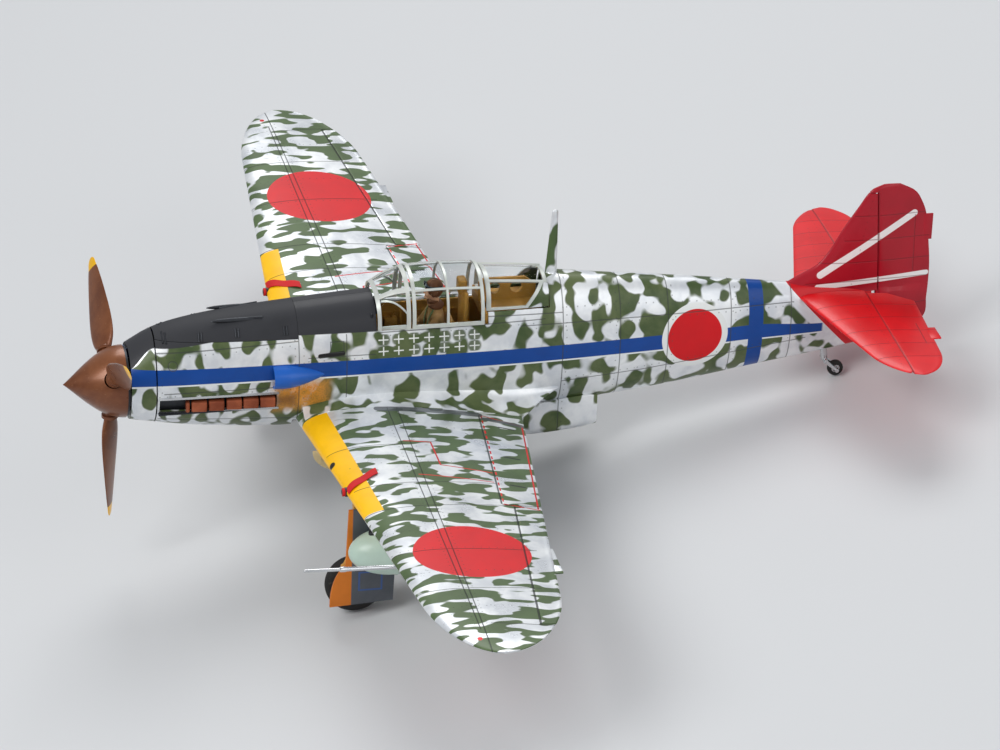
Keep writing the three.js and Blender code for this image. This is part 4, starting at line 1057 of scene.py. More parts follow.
def buildWings():
    def cove(x):
        return wingHinge(x, -0.14)

    def lowCove(x):
        return wingHinge(x, -0.95 if x <= 60.31 else -0.3)

    inner, outer = flapLine[0][0], flapLine[1][0]
    aileronIn, aileronOut = aileronLine[0][0], aileronLine[1][0]
    inboard = steps(0.1, inner, 4)
    flapSpans = steps(inner, outer, 20)
    between = [outer, aileronIn]
    aileronSpans = steps(aileronIn, wing["tipStart"], 18)[:-1] + steps(wing["tipStart"], aileronOut, 10)
    tip = tipSpans(aileronOut, wing["halfSpan"], 18)
    spans = inboard + flapSpans[1:] + between[1:] + aileronSpans[1:] + tip[1:]
    bm = bmesh.new()
    frontPart(bm, wingAt, spans, cove, wing["columns"] * 2, lowShare=lowCove)
    for part in (inboard, between, tip):
        rearPart(bm, wingAt, part, cove, 20, lowShare=lowCove)
    for part in (flapSpans, aileronSpans):
        closingWall(bm, wingAt, part, cove, 0.85, lowShare=lowCove)
    clean(bm, 0.003)
    for x in (inner, outer, aileronIn, aileronOut):
        ends = [e for e in bm.edges if e.is_boundary and all(abs(v.co.x - x) < 0.02 for v in e.verts)]
        bmesh.ops.holes_fill(bm, edges=ends, sides=0)
    ends = [e for e in bm.edges if e.is_boundary]
    bmesh.ops.holes_fill(bm, edges=ends, sides=0)
    bay = bmesh.new()
    rod(bay, (22.5, 57.5, -13), (22.5, 57.5, wingAt(22)["height"] + 0.4), 7.2, 7.2, 40)
    slot = bmesh.new()
    block(slot, (22, 51.8, -12.5), (46.9, 56.2, wingAt(34)["height"] + 0.4), 0)
    clean(bm, 0.003)
    for cutter in (bay, slot):
        bm = carve(bm, cutter)
    slope = wing["dihedral"]
    normal = Vector((-slope, 0, 1)).normalized()
    lowerBm = bm.copy()
    for half, drop in ((bm, {"dropBack": True}), (lowerBm, {"dropFront": True})):
        offset = 0.03 if half is bm else -0.03
        cutAcross(half, (0, 0, wing["rootHeight"] + offset), normal, **drop)
        bmesh.ops.holes_fill(half, edges=[e for e in half.edges if e.is_boundary], sides=0)
    makePair("wingUpper", bm, "airframe", ["wing_upper"], "camouflage", finish["wing"],
             angle=40)
    makePair("wingLower", lowerBm, "airframe", ["wing_lower"], "silver_underside",
             finish["underside"], angle=40)


def buildSurface(name, line, spans, bodies, node):
    def front(x):
        return wingHinge(x, 0.12) if line is flapLine else aileronShare(x, 0.12)

    bm = bmesh.new()
    rearPart(bm, wingAt, spans, front, 28)
    closingWall(bm, wingAt, spans, front, 0.82, 12)
    clean(bm, 0.003)
    bmesh.ops.holes_fill(bm, edges=[e for e in bm.edges if e.is_boundary], sides=0)
    if line is aileronLine:  # fixed tab that stands past the edge
        block(bm, (80.3, 83.2, -1.92), (90, 85.6, -1.6), 0.1)
    makePair(name, bm, bodies, [node], "camouflage", finish["wing"], angle=40)


def aileronShare(x, shift):
    here = wingAt(x)
    return (hingeY(aileronLine, x) + shift - here["lead"]) / (here["trail"] - here["lead"])


def buildWingDetails():
    nose = wingAt(46)
    gun = bmesh.new()
    profile = [(0.0, 0.5), (0.3, 0.5), (0.3, 0), (0.55, 0), (0.6, 0.08), (0.6, 5.6), (0, 5.6)]
    lathe(gun, profile, (46, nose["lead"] - 0.8, nose["height"]), "y", 24)
    lathe(gun, [(0.6, 0), (0.95, 0.1), (1.0, 1.6), (0.6, 1.6)], (46, nose["lead"] - 0.25, nose["height"]),
          "y", 24)
    makePair("wingGun", gun, "airframe", ["wing_gun"], "dark_metal", finish["dark"])
    # cloth tag tied round the gun port
    ribbon = bmesh.new()

    def ribbonPoint(u, v):
        here = wingAt(47.2 - 4.2 * v)
        y = here["lead"] + 0.1 + 7 * v
        s = (y - here["lead"]) / (here["trail"] - here["lead"])
        spot = foilPoint(wingAt, 47.2 - 4.2 * v + (u - 0.5) * 2.6, s, 1)
        return Vector((spot.x, y, spot.z + 0.16 + 0.14 * math.sin(v * 9)))
    sheet(ribbon, 6, steps(0, 1, 20), ribbonPoint)
    wallIn(ribbon, 0.12)
    lathe(ribbon, [(0.62, 0), (0.86, 0.05), (0.86, 0.9), (0.62, 0.95)],
          (46, nose["lead"] - 0.75, nose["height"]), "y", 20)
    makePair("gunRibbon", ribbon, "airframe", [], "tail_red", finish["ribbon"])
    pitot = bmesh.new()
    at = wingAt(82)
    lead, height = at["lead"], at["height"]
    profile = [(0, 0), (0.1, 0), (0.16, 0.15), (0.3, 0.1), (0.34, 0.4), (0.34, 7.0), (0.55, 7.2), (0.55, 8.2),
               (0.45, 8.4), (0.45, 18.6), (0, 18.6)]
    lathe(pitot, profile, (82, lead - 17.8, height - 0.6), "y", 20)
    bmesh.ops.rotate(pitot, verts=pitot.verts, cent=(82, lead, height), matrix=Matrix.Rotation(-0.03, 3, "X"))
    makePiece("pitotTube", pitot, "airframe", ["pitot_tube"], "polished_metal", finish["metal"])
    fillet = bmesh.new()
    sections = [[50, -4.6, 9.8], [62, -2.4, 10.6], [76, -2, 11.4], [88, -2.8, 12], [96.2, -3.9, 12.1],
                [103.6, -5.2, 8.6]]
    highLine = [[y, high] for y, high, out in sections]
    outLine = [[y, out] for y, high, out in sections]

    def filletPoint(u, y):
        high, out = smoothAlong(highLine, y), smoothAlong(outLine, y)
        here = wingAt(out)
        s = min(max((y - here["lead"]) / (here["trail"] - here["lead"]), 0.0), 0.995)
        low = here["height"] + foilHeight(here, s, 1) - 0.1
        # past the wing's trailing edge it draws in to a point on the body
        past = min(max((y - 95) / 8.6, 0), 1)
        start = Vector((7.2, y, high + 0.6))
        end = Vector((out + 1.6, y, low)).lerp(Vector((7.1, y, -4.9)), past)
        bend = Vector((7.9, y, low + 0.5)).lerp(Vector((7.1, y, -4.8)), past)
        return start * (1 - u) ** 2 + bend * 2 * u * (1 - u) + end * u ** 2
    sheet(fillet, 12, steps(49, 103.5, 50), filletPoint)
    wallIn(fillet, -0.3)
    makePair("wingFillet", fillet, "airframe", ["wing_fillet"], "camouflage",
             finish["fuselage"])


buildWings()
buildSurface("flap", flapLine, steps(flapLine[0][0] + 0.35, flapLine[1][0] - 0.35, 22),
             ("left_flap", "right_flap"), "flap")
outerSpans = steps(103, aileronLine[1][0] - 0.35, 10)
buildSurface("aileron", aileronLine, steps(aileronLine[0][0] + 0.35, 103, 18)[:-1] + outerSpans,
             ("left_aileron", "right_aileron"), "aileron")
buildWingDetails()
print("wings made")

# Tail
tail = {"root": 2.6, "halfSpan": 40.4, "height": 10.1, "hinge": 170.6, "tipStart": 31, "centre": 172.6}
finLead = [[-0.8, 174], [10, 150.5], [13.6, 155.1], [17, 160.9], [25.2, 166], [29.6, 168.8],
           [33.3, 171.4], [34.5, 174]]
finTrail = [[-0.8, 179], [2.5, 184.6], [7.4, 185.2], [14.7, 185.3], [20.7, 184.7], [27.3, 183.7],
            [30.5, 182.4],
            [32.7, 180.8], [34.5, 177.4]]


def tailAt(x):
    tip = min(max((x - tail["tipStart"]) / (tail["halfSpan"] - tail["tipStart"]), 0), 0.99995)
    shrink = math.sqrt(1 - tip * tip)
    lead, trail = 155.8 + 0.265 * x, 180.7 - 0.058 * x
    return {
        "lead": tail["centre"] + (lead - tail["centre"]) * shrink,
        "trail": tail["centre"] + (trail - tail["centre"]) * shrink,
        "height": tail["height"], "thick": 0.085 * (trail - lead) * max(shrink, 0.25),
    }


def tailShare(shift):
    def share(x):
        here = tailAt(x)
        return min(max((tail["hinge"] + shift - here["lead"]) / (here["trail"] - here["lead"]), 0), 1)
    return share


def buildTailplanes():
    fixedTip = 39.2
    spans = steps(tail["root"], tail["tipStart"], 12)[:-1] + tipSpans(tail["tipStart"], fixedTip, 14)
    fixed = bmesh.new()
    frontPart(fixed, tailAt, spans, tailShare(-0.14), 44)
    closingWall(fixed, tailAt, spans, tailShare(-0.14), 0.8, 8)
    clean(fixed, 0.003)
    bmesh.ops.holes_fill(fixed, edges=[e for e in fixed.edges if e.is_boundary], sides=0)
    makePair("tailplane", fixed, "airframe", ["tailplane"], "tail_red", finish["tailplane"],
             angle=40)
    movingSpans = steps(3.7, tail["tipStart"], 12)[:-1] + tipSpans(tail["tipStart"], tail["halfSpan"], 20)
    moving = bmesh.new()
    rearPart(moving, tailAt, movingSpans, tailShare(0.14), 28)
    closingWall(moving, tailAt, movingSpans, tailShare(0.14), 0.8, 10)
    clean(moving, 0.003)
    bmesh.ops.holes_fill(moving, edges=[e for e in moving.edges if e.is_boundary], sides=0)
    cutAcross(moving, (3.6, 175, 0), Vector((7, -4.8, 0)).normalized(), dropBack=True)
    bmesh.ops.holes_fill(moving, edges=[e for e in moving.edges if e.is_boundary], sides=0)
    block(moving, (20, 178.6, 9.95), (25, 180.9, 10.25), 0.08)
    makePair("elevator", moving, ("elevators", "elevators"), ["elevator"], "tail_red",
             finish["tailplane"], angle=40)


def finAt(z):
    lead = 172 if z < 10 else smoothAlong(finLead, z)
    return {"lead": lead, "trail": smoothAlong(finTrail, z), "height": 0,
            "thick": blendValue(2.9, 1.1, min(max(z / 34, 0), 1))}


def rudderY(z):
    return rudderLow[0] + (rudderHigh[0] - rudderLow[0]) * (z - rudderLow[1]) / (rudderHigh[1] - rudderLow[1])


def finShare(shift):
    def share(z):
        here = finAt(z)
        return min(max((rudderY(z) + shift - here["lead"]) / (here["trail"] - here["lead"]), 0), 1)
    return share


def buildFin():
    spans = steps(10, 32.6, 40)
    fin = bmesh.new()
    frontPart(fin, finAt, spans, finShare(-0.42), 44, turned=True)
    closingWall(fin, finAt, spans, finShare(-0.42), 0.8, 8, turned=True)
    clean(fin, 0.003)
    bmesh.ops.holes_fill(fin, edges=[e for e in fin.edges if e.is_boundary], sides=0)
    makePiece("tailFin", fin, "airframe", ["fin"], "tail_red", finish["fin"], angle=40)
    rudder = bmesh.new()
    spans = steps(-0.8, 32.95, 48)
    rearPart(rudder, finAt, spans, finShare(0.14), 28, turned=True)
    closingWall(rudder, finAt, spans, finShare(0.14), 0.8, 10, turned=True)
    clean(rudder, 0.003)
    bmesh.ops.holes_fill(rudder, edges=[e for e in rudder.edges if e.is_boundary], sides=0)
    horn = bmesh.new()
    hornSpans = steps(32.8, 34.45, 8)

    def hornPoint(u, z):
        w = 1 - 2 * u
        shrink = math.sqrt(max(1 - max((z - 33.2) / 1.3, 0) ** 2, 0.0004))
        here = finAt(z)
        y = here["lead"] + w * w * (here["trail"] - here["lead"])
        lift = 0 if w * w > 0.9999 else here["thick"] * aerofoil(w * w) * (1.12 if w > 0 else -0.88) * shrink
        return Vector((lift, y, z))
    sheet(horn, 40, hornSpans, hornPoint)
    clean(horn, 0.003)
    bmesh.ops.holes_fill(horn, edges=[e for e in horn.edges if e.is_boundary], sides=0)
    mesh = bpy.data.meshes.new("horn")
    horn.to_mesh(mesh)
    rudder.from_mesh(mesh)
    bpy.data.meshes.remove(mesh)
    horn.free()
    block(rudder, (-0.16, 183.2, 21), (0.16, 185.3, 27), 0.08)
    makePiece("rudderBlade", rudder, "rudder", ["rudder"], "tail_red", finish["fin"], angle=40)


buildTailplanes()
buildFin()
print("tail made")

# Propeller
propeller = {"length": 12.6, "radius": 7.6, "station": 9.8, "clock": 30.5}
bladeCuts = [[7.4, 1.5, 1.6, 42], [10.5, 2.9, 1.3, 40], [15, 3.4, 0.85, 35], [21, 3, 0.6, 30],
             [27, 2.1, 0.45, 26],
             [30, 1.2, 0.35, 24], [31.25, 0.4, 0.25, 23]]


def aboutShaft(bm, degrees):
    bmesh.ops.rotate(bm, verts=bm.verts, cent=(0, 0, 0), matrix=Matrix.Rotation(math.radians(-degrees), 3,
                                                                                "Y"))


def buildPropeller():
    dome = bmesh.new()
    profile = []
    for k in range(33):
        t = (k / 32) ** 1.5
        profile.append((propeller["radius"] * math.sin(t * math.pi / 2) ** 1.08, propeller["length"] * t))
    profile += [(7.45, 12.6), (7.3, 12.3), (0, 12.3)]
    profile[0] = (0, 0)
    lathe(dome, profile, (0, 0, 0), "y", 72)
    clean(dome)
    for turn in (0, 120, 240):
        socket = bmesh.new()
        rod(socket, (3.9, propeller["station"], 0), (12, propeller["station"], 0), 1.9, 1.9, 32)
        aboutShaft(socket, propeller["clock"] + turn)
        dome = carve(dome, socket)
    makePiece("spinnerDome", dome, "propeller", ["spinner"], "propeller_brown", finish["propeller"], rim=0.1)
    shaft = bmesh.new()
    lathe(shaft, [(0, 12.66), (7.3, 12.66), (7.3, 13.1), (1.2, 13.1), (1.2, 24), (0, 24)], (0, 0, 0), "y", 48)
    makePiece("propellerShaft", shaft, "propeller", ["propeller_shaft"], "dark_metal", finish["dark"])
    halfLine, thickLine, pitchLine = ([[c[0], c[k]] for c in bladeCuts] for k in (1, 2, 3))
    for number, turn in enumerate((0, 120, 240)):
        bm = bmesh.new()

        def bladePoint(u, radius):
            angle = u * fullTurn
            end = math.sqrt(max(1 - max((radius - 29.4) / 1.9, 0) ** 2, 0.0001))
            half = (smoothAlong(halfLine, radius) if radius < 29.4 else 1.45 * end)
            thick = smoothAlong(thickLine, radius) * (1 if radius < 29.4 else 0.3 + 0.7 * end)
            twist = math.radians(-smoothAlong(pitchLine, radius))
            chord, through = half * math.cos(angle), thick * 0.5 * math.sin(angle)
            return Vector((radius, propeller["station"] + chord * math.sin(twist) + through * math.cos(twist),
                           chord * math.cos(twist) - through * math.sin(twist)))
        rows = steps(7.4, 29.4, 30) + tipSpans(29.4, 31.25, 10)[1:]
        sheet(bm, 32, rows, bladePoint)
        clean(bm)
        bmesh.ops.holes_fill(bm, edges=[e for e in bm.edges if e.is_boundary], sides=0)
        rod(bm, (4.4, propeller["station"], 0), (8.6, propeller["station"], 0), 1.35, 1.35, 28, 0.1)
        lathe(bm, [(1.35, 7.4), (1.75, 7.5), (1.75, 8.1), (1.35, 8.2)], (0, propeller["station"], 0), "x", 28)
        aboutShaft(bm, propeller["clock"] + turn)
        makePiece("blade" + str(number + 1), bm, "propeller", ["propeller_blade_" + str(number + 1)],
                  "propeller_brown", finish["propeller"], angle=50)


buildPropeller()
print("propeller made")

# Canopy: glass arches and the frames laid on them
screen = [[64.55, 7.15, 11.55, 17.7], [68, 7.5, 11.55, 19.9], [71.4, 7.75, 11.55, 21.35]]
hood = [[71.7, 8.2, 11.65, 21.75], [79, 8.25, 11.65, 21.9], [87, 8.2, 11.65, 21.5]]
rearGlass = [[87.6, 6.5, 13.95, 20.6], [95, 6.35, 13.95, 20], [101.05, 6.1, 13.95, 19.3]]


def archPoint(sections, share, y, grow=0.0):
    half, sill, top = (smoothAlong([[s[0], s[k]] for s in sections], y) for k in (1, 2, 3))
    angle = share * math.pi
    across = math.copysign(abs(math.cos(angle)) ** 0.83, math.cos(angle))
    return Vector(((half + grow) * across, y, sill + (top + grow - sill) * math.sin(angle) ** 0.83))


def archGlass(name, sections, body, node):
    bm = bmesh.new()
    sheet(bm, 48, steps(sections[0][0] + 0.05, sections[-1][0] - 0.05, 14),
          lambda u, y: archPoint(sections, 0.004 + 0.992 * u, y, -0.12))
    clean(bm)
    bmesh.ops.solidify(bm, geom=bm.faces[:], thickness=0.2)
    makePiece(name, bm, body, [node], "clear_canopy", finish["glass"], angle=60)


def archFrame(name, sections, strips, body, proud=0.05):
    # each strip is [y start, y end, share start, share end], and may drift by a share along its length
    bm = bmesh.new()
    for strip in strips:
        y0, y1, u0, u1 = strip[:4]
        slant, bend = strip[4:] or (0, 1)
        wide = abs(u1 - u0) > 0.3
        count = 40 if wide else 3
        rows = steps(0, 1, 2 if wide else 24)
        sheet(bm, count, rows, lambda u, v: archPoint(
            sections, min(max(u0 + (u1 - u0) * u + slant * v ** bend, 0.0005), 0.9995),
            y0 + (y1 - y0) * v, proud))
    bmesh.ops.recalc_face_normals(bm, faces=bm.faces)
    bmesh.ops.solidify(bm, geom=bm.faces[:], thickness=0.42)
    makePiece(name, bm, body, [], "clear_canopy", finish["silver"], angle=40, merge=0.0005)


def buildCanopy():
    archGlass("windscreenGlass", screen, "airframe", "windscreen")
    archGlass("hoodGlass", hood, "canopy", "sliding_canopy")
    archGlass("rearGlass", rearGlass, "airframe", "rear_canopy")
    def bothSides(y0, y1, low, high, slant=0, bend=1):
        return [[y0, y1, low, high, slant, bend], [y0, y1, 1 - high, 1 - low, -slant, bend]]

    strips = [[70.55, 71.4, 0.001, 0.999], [64.6, 65.4, 0.001, 0.999]]
    strips += bothSides(64.6, 71.4, 0.001, 0.018) + bothSides(64.8, 71.2, 0.3, 0.35, -0.045)
    strips += bothSides(64.8, 71.2, 0.275, 0.296, -0.215, 1.5)
    archFrame("windscreenFrame", screen, strips, "airframe")
    strips = [[71.75, 72.5, 0.001, 0.999], [79, 79.5, 0.001, 0.999], [86.25, 86.95, 0.001, 0.999]]
    strips += bothSides(71.75, 86.95, 0.001, 0.016) + bothSides(71.75, 86.95, 0.25, 0.27)
    archFrame("hoodFrame", hood, strips, "canopy")
    strips = [[87.65, 88.6, 0.001, 0.999], [100.2, 101, 0.3, 0.7]]
    strips += bothSides(87.65, 96.6, 0.001, 0.017) + bothSides(87.65, 101, 0.3, 0.335)
    archFrame("rearFrame", rearGlass, strips, "airframe")

    # the rear side windows end on a slant, with a metal corner behind it
    def slantEdge(share):
        return 96.4 + 4.3 * math.sin(share * math.pi) ** 0.83

    corner, edge = bmesh.new(), bmesh.new()
    sheet(corner, 12, steps(0, 1, 8), lambda u, v: archPoint(
        rearGlass, 0.001 + 0.33 * u, blendValue(slantEdge(0.001 + 0.33 * u), 101, v), 0.02))
    sheet(edge, 12, steps(0, 1, 2), lambda u, v: archPoint(
        rearGlass, 0.001 + 0.33 * u, slantEdge(0.001 + 0.33 * u) - 0.8 + 0.85 * v, 0.06))
    for bm, name, slotName, coat in ((corner, "rearCorner", "camouflage", "fuselage"),
                                     (edge, "rearEdge", "clear_canopy", "silver")):
        wallIn(bm, 0.35)
        makePair(name, bm, "airframe", [], slotName, finish[coat], merge=0.0005)


buildCanopy()
print("canopy made")

# Cockpit
floorTop = -1.4


def buildCockpit():
    ochre = finish["ochre"]
    bm = bmesh.new()
    block(bm, (-6.4, 58, floorTop - 1), (6.4, 100, floorTop), 0.15)
    for x in (-4.6, 4.6):
        block(bm, (x - 0.5, 64, floorTop), (x + 0.5, 96, floorTop + 0.5), 0.12)
    for y in (68, 74, 80, 86, 92):
        block(bm, (-6, y, floorTop), (6, y + 0.5, floorTop + 0.25), 0.06)
    makePiece("cockpitFloor", bm, "airframe", ["cockpit_floor"], "cockpit_ochre", ochre)
    # side walls with frames and stringers
    walls = bmesh.new()

    def wallPoint(u, y):
        z = -0.5 + u * 11.6
        best = min((abs(hullPoint(t / 300, y, 1.05).z - z), t) for t in range(30, 145))[1]
        return Vector((hullPoint(best / 300, y, 1.05).x, y, z))
    sheet(walls, 10, steps(60, 99, 36), wallPoint)
    wallIn(walls, 0.25)
    for y in (67, 72, 77, 82, 86.5):
        block(walls, (6.6, y, 0), (7.35, y + 0.6, 10.9), 0.1)
    for z in (4.2, 8.2):
        block(walls, (6.7, 60.5, z), (7.4, 87, z + 0.5), 0.1)
    block(walls, (5.6, 68.6, 5.4), (7.1, 71.4, 7.6), 0.3)
    rod(walls, (6.2, 70, 7.4), (5.6, 70.8, 9.4), 0.22, 0.22, 10)
    makePair("cockpitWall", walls, "airframe", [], "cockpit_ochre", ochre)
    seat = bmesh.new()
    block(seat, (-3.4, 74.4, 1.4), (3.4, 81.6, 2.2), 0.25, 3)
    block(seat, (-3.4, 80.8, 2), (3.4, 81.6, 10.5), 0.35, 3)
    for x in (-3.4, 2.8):
        block(seat, (x, 75.2, 2), (x + 0.6, 81.6, 5.4), 0.25, 3)
    for x in (-3, 2.2):
        block(seat, (x, 75, floorTop + 0.1), (x + 0.8, 81, 1.6), 0.15)
    makePiece("pilotSeat", seat, "airframe", ["pilot_seat"], "cockpit_ochre", ochre)
    armour = bmesh.new()
    block(armour, (-3.1, 83.6, floorTop + 0.15), (3.1, 84.6, 16.4), 0.3, 3)
    block(armour, (-1.5, 82.7, 15.5), (1.5, 84.6, 18.8), 0.5, 4)
    makePiece("headArmour", armour, "airframe", ["head_armour"], "cockpit_ochre", ochre)
    panel = bmesh.new()
    block(panel, (-6, 63.2, 5.6), (6, 63.8, 14.6), 0.3, 3)
    block(panel, (-1.2, 62, 12.2), (1.2, 66.4, 14.4), 0.2)
    for x in (-6, 5.2):
        block(panel, (x, 62.2, floorTop + 0.15), (x + 0.8, 63.5, 6), 0.1)
    for row, z in enumerate((12.6, 10.4, 8.2)):
        for k in range(-2, 3):
            x = k * 2.1 + (row % 2) * 0.3
            lathe(panel, [(0, 64.0), (0.62, 64.0), (0.62, 64.12), (0.82, 64.12), (0.86, 63.7)], (x, 0, z),
                  "y", 20)
    makePiece("instrumentPanel", panel, "airframe", ["instrument_panel"], "dark_metal", finish["dark"])
    sight = bmesh.new()
    block(sight, (-0.7, 64.9, 14.4), (0.7, 66.6, 15.6), 0.2)
    block(sight, (-0.6, 65.4, 15.6), (0.6, 65.6, 17.2), 0.05)
    makePiece("reflectorSight", sight, "airframe", [], "dark_metal", finish["dark"])
    stick = bmesh.new()
    rod(stick, (0, 70.5, floorTop + 0.15), (0, 71.6, 5.2), 0.4, 0.3, 16)
    ball(stick, (0, 71.7, 5.6), (0.5, 0.55, 0.95), 16)
    block(stick, (-0.9, 69.6, floorTop + 0.15), (0.9, 71.4, floorTop + 0.8), 0.2)
    makePiece("controlStick", stick, "airframe", ["control_stick"], "dark_metal", finish["dark"])
    deck = bmesh.new()
    block(deck, (-5, 88.6, 12.7), (5, 99.6, 13.5), 0.2)
    block(deck, (-7, 87.45, 10.9), (7, 87.95, 13.6), 0.1)
    for x in (-4.6, 3.8):
        block(deck, (x, 96, floorTop + 0.15), (x + 0.8, 99, 13), 0.15)
    web = bmesh.new()
    outline = [(87.2, 13.3), (99.4, 13.3), (99.4, 16.6), (97, 18.3), (88.4, 18.4), (87.2, 17.6)]
    prism(web, outline, lambda p: Vector((-0.35, *p)), lambda p: Vector((0.35, *p)))
    clean(web)
    for y in (90.6, 95.2):
        hole = bmesh.new()
        rod(hole, (-2, y, 16.1), (2, y, 16.1), 1.25, 1.25, 28)
        web = carve(web, hole)
    for y in (90.6, 95.2):
        lathe(web, [(1.25, -0.45), (1.55, -0.45), (1.55, 0.45), (1.25, 0.45), (1.25, -0.45)],
              (0, y, 16.1), "x", 28)
    makePiece("rearWeb", web, "airframe", [], "cockpit_ochre", ochre, rim=0.05)
    makePiece("rearDeck", deck, "airframe", ["rear_deck"], "cockpit_ochre", ochre)


def buildPilot():
    # flying suit as one soft form
    suit = bmesh.new()
    ball(suit, (0, 78.4, 8.4), (2.9, 1.9, 4.6), 24)
    ball(suit, (0, 78.3, 11.2), (3.4, 1.6, 1.7), 24)
    ball(suit, (0, 77.6, 4.1), (2.5, 2.3, 1.7), 20)
    for side in (-1, 1):
        rod(suit, (side * 1.5, 77, 4.2), (side * 1.9, 70.6, 5.6), 1.25, 1.0, 16)
        rod(suit, (side * 1.9, 70.9, 5.8), (side * 2, 69, -0.6), 1.0, 0.7, 16)
        rod(suit, (side * 2.9, 78.2, 11.2), (side * 3.4, 75.6, 7.4), 0.95, 0.8, 16)
        rod(suit, (side * 3.4, 75.8, 7.6), (side * 1.9, 72.8, 7), 0.8, 0.6, 16)
        ball(suit, (side * 2.9, 78.2, 11.2), (1.05, 1.05, 1.05), 16)
        ball(suit, (side * 3.4, 75.7, 7.5), (0.85, 0.85, 0.85), 16)
        ball(suit, (side * 1.9, 70.7, 5.7), (1.05, 1.05, 1.05), 16)
    piece = makePiece("pilotSuit", suit, "airframe", ["pilot_figure"], "flying_suit", finish["suit"],
                      angle=180)
    remesh = piece.modifiers.new("oneForm", "REMESH")
    remesh.mode, remesh.voxel_size, remesh.use_smooth_shade = "VOXEL", 0.00022, True
    smooth = piece.modifiers.new("softer", "SMOOTH")
    smooth.factor, smooth.iterations = 0.6, 4
    gloves = bmesh.new()
    ball(gloves, (0.7, 72.1, 6.6), (0.8, 0.8, 0.7), 16)
    ball(gloves, (-1.6, 72.6, 6.8), (0.7, 0.8, 0.6), 16)
    for side in (-1, 1):
        ball(gloves, (side * 2, 68.4, -0.7), (0.7, 1.5, 0.55), 16)
    makePiece("glovesAndBoots", gloves, "airframe", [], "flying_suit", finish["leather"], angle=60)
    face = bmesh.new()
    ball(face, (0, 77.5, 16.3), (1.45, 1.65, 2.05), 32)
    ball(face, (0, 75.8, 16.2), (0.24, 0.34, 0.42), 16)
    ball(face, (0, 76.2, 14.9), (0.62, 0.5, 0.4), 16)
    rod(face, (0, 78.1, 12.4), (0, 77.8, 15), 1.05, 1.0, 20)
    for side in (-1, 1):
        ball(face, (side * 0.6, 76.05, 15.75), (0.45, 0.35, 0.45), 16)
    head = makePiece("pilotFace", face, "airframe", [], "flying_suit", finish["skin"], angle=180)
    remesh = head.modifiers.new("oneForm", "REMESH")
    remesh.mode, remesh.voxel_size, remesh.use_smooth_shade = "VOXEL", 0.0001, True
    smooth = head.modifiers.new("softer", "SMOOTH")
    smooth.factor, smooth.iterations = 0.6, 4
    collar = bmesh.new()
    ball(collar, (0, 78.2, 13.1), (2.15, 1.75, 0.95), 24)
    ball(collar, (0, 77.6, 14.0), (1.35, 1.25, 0.7), 20)
    makePiece("collar", collar, "airframe", [], "flying_suit", finish["leather"], angle=60)
    helmet = bmesh.new()
    ball(helmet, (0, 77.8, 16.8), (1.72, 1.95, 2.2), 36)
    cutAcross(helmet, (0, 76.35, 16.4), Vector((0, 1, 0.18)).normalized(), dropBack=True)
    cutAcross(helmet, (0, 77, 14.9), Vector((0, 0.25, 1)).normalized(), dropBack=True)
    wallIn(helmet, 0.18)
    for side in (-1, 1):
        ball(helmet, (side * 1.6, 77.5, 16.1), (0.3, 0.6, 0.7), 16)
    makePiece("helmet", helmet, "airframe", [], "flying_suit", finish["leather"], angle=60)
    goggles = bmesh.new()
    for side in (-1, 1):
        lathe(goggles, [(0, -0.05), (0.42, -0.05), (0.55, 0.1), (0.5, 0.4), (0, 0.4)],
              (side * 0.66, 75.78, 17.75), "y", 20)
    lathe(goggles, [(1.78, -0.22), (1.86, -0.15), (1.86, 0.15), (1.78, 0.22)], (0, 77.75, 17.6), "z", 36)
    makePiece("goggles", goggles, "airframe", [], "flying_suit", finish["lens"], angle=50)
    straps = bmesh.new()
    for side in (-1, 1):
        sheet(straps, 2, steps(0, 1, 16), lambda u, v: Vector((
            side * (1.1 + 0.7 * (1 - v)) + (u - 0.5) * 0.7,
            78.4 - 2.15 * math.sin(math.pi * (0.15 + 0.6 * v)), 12.6 - 7.2 * v)))
    wallIn(straps, 0.15)
    makePiece("harness", straps, "airframe", [], "flying_suit", finish["strap"], angle=60)


buildCockpit()
buildPilot()
print("cockpit made")

# Mast, radiator and the parts under the wings
radiator = [[84.5, 5.3, -15.2, -9], [90, 5.9, -16.4, -9], [99, 6, -16.7, -9], [107, 5.8, -16.2, -8],
            [112.6, 5.5, -15.4, -8]]
tank = {"x": 52, "y": 50.5, "z": -15.4, "length": 37, "shoulder": 9, "radius": 4.9}


def buildMast():
    bm = bmesh.new()
    halfLine, thickLine = [[17.6, 1.35], [24, 1.05], [33.2, 0.62]], [[17.6, 0.6], [24, 0.5], [33.2, 0.34]]

    def mastPoint(u, z):
        angle = u * fullTurn
        end = math.sqrt(max(1 - max((z - 32.7) / 0.5, 0) ** 2, 0.01))
        half, thick = smoothAlong(halfLine, z) * end, smoothAlong(thickLine, z) * end
        return Vector((thick * math.sin(angle), 102.6 + (z - 19) * 0.03 + half * math.cos(angle), z))
    sheet(bm, 28, steps(17.6, 32.7, 20) + tipSpans(32.7, 33.2, 5)[1:], mastPoint)
    clean(bm)
    bmesh.ops.holes_fill(bm, edges=[e for e in bm.edges if e.is_boundary], sides=0)
    lathe(bm, [(0, 0), (1.0, 0), (1.15, 0.2), (1.0, 0.45), (0, 0.45)], (0, 102.6, 18.6), "z", 28)
    makePiece("antennaMast", bm, "airframe", ["antenna_mast"], "camouflage", finish["mast"], angle=50)


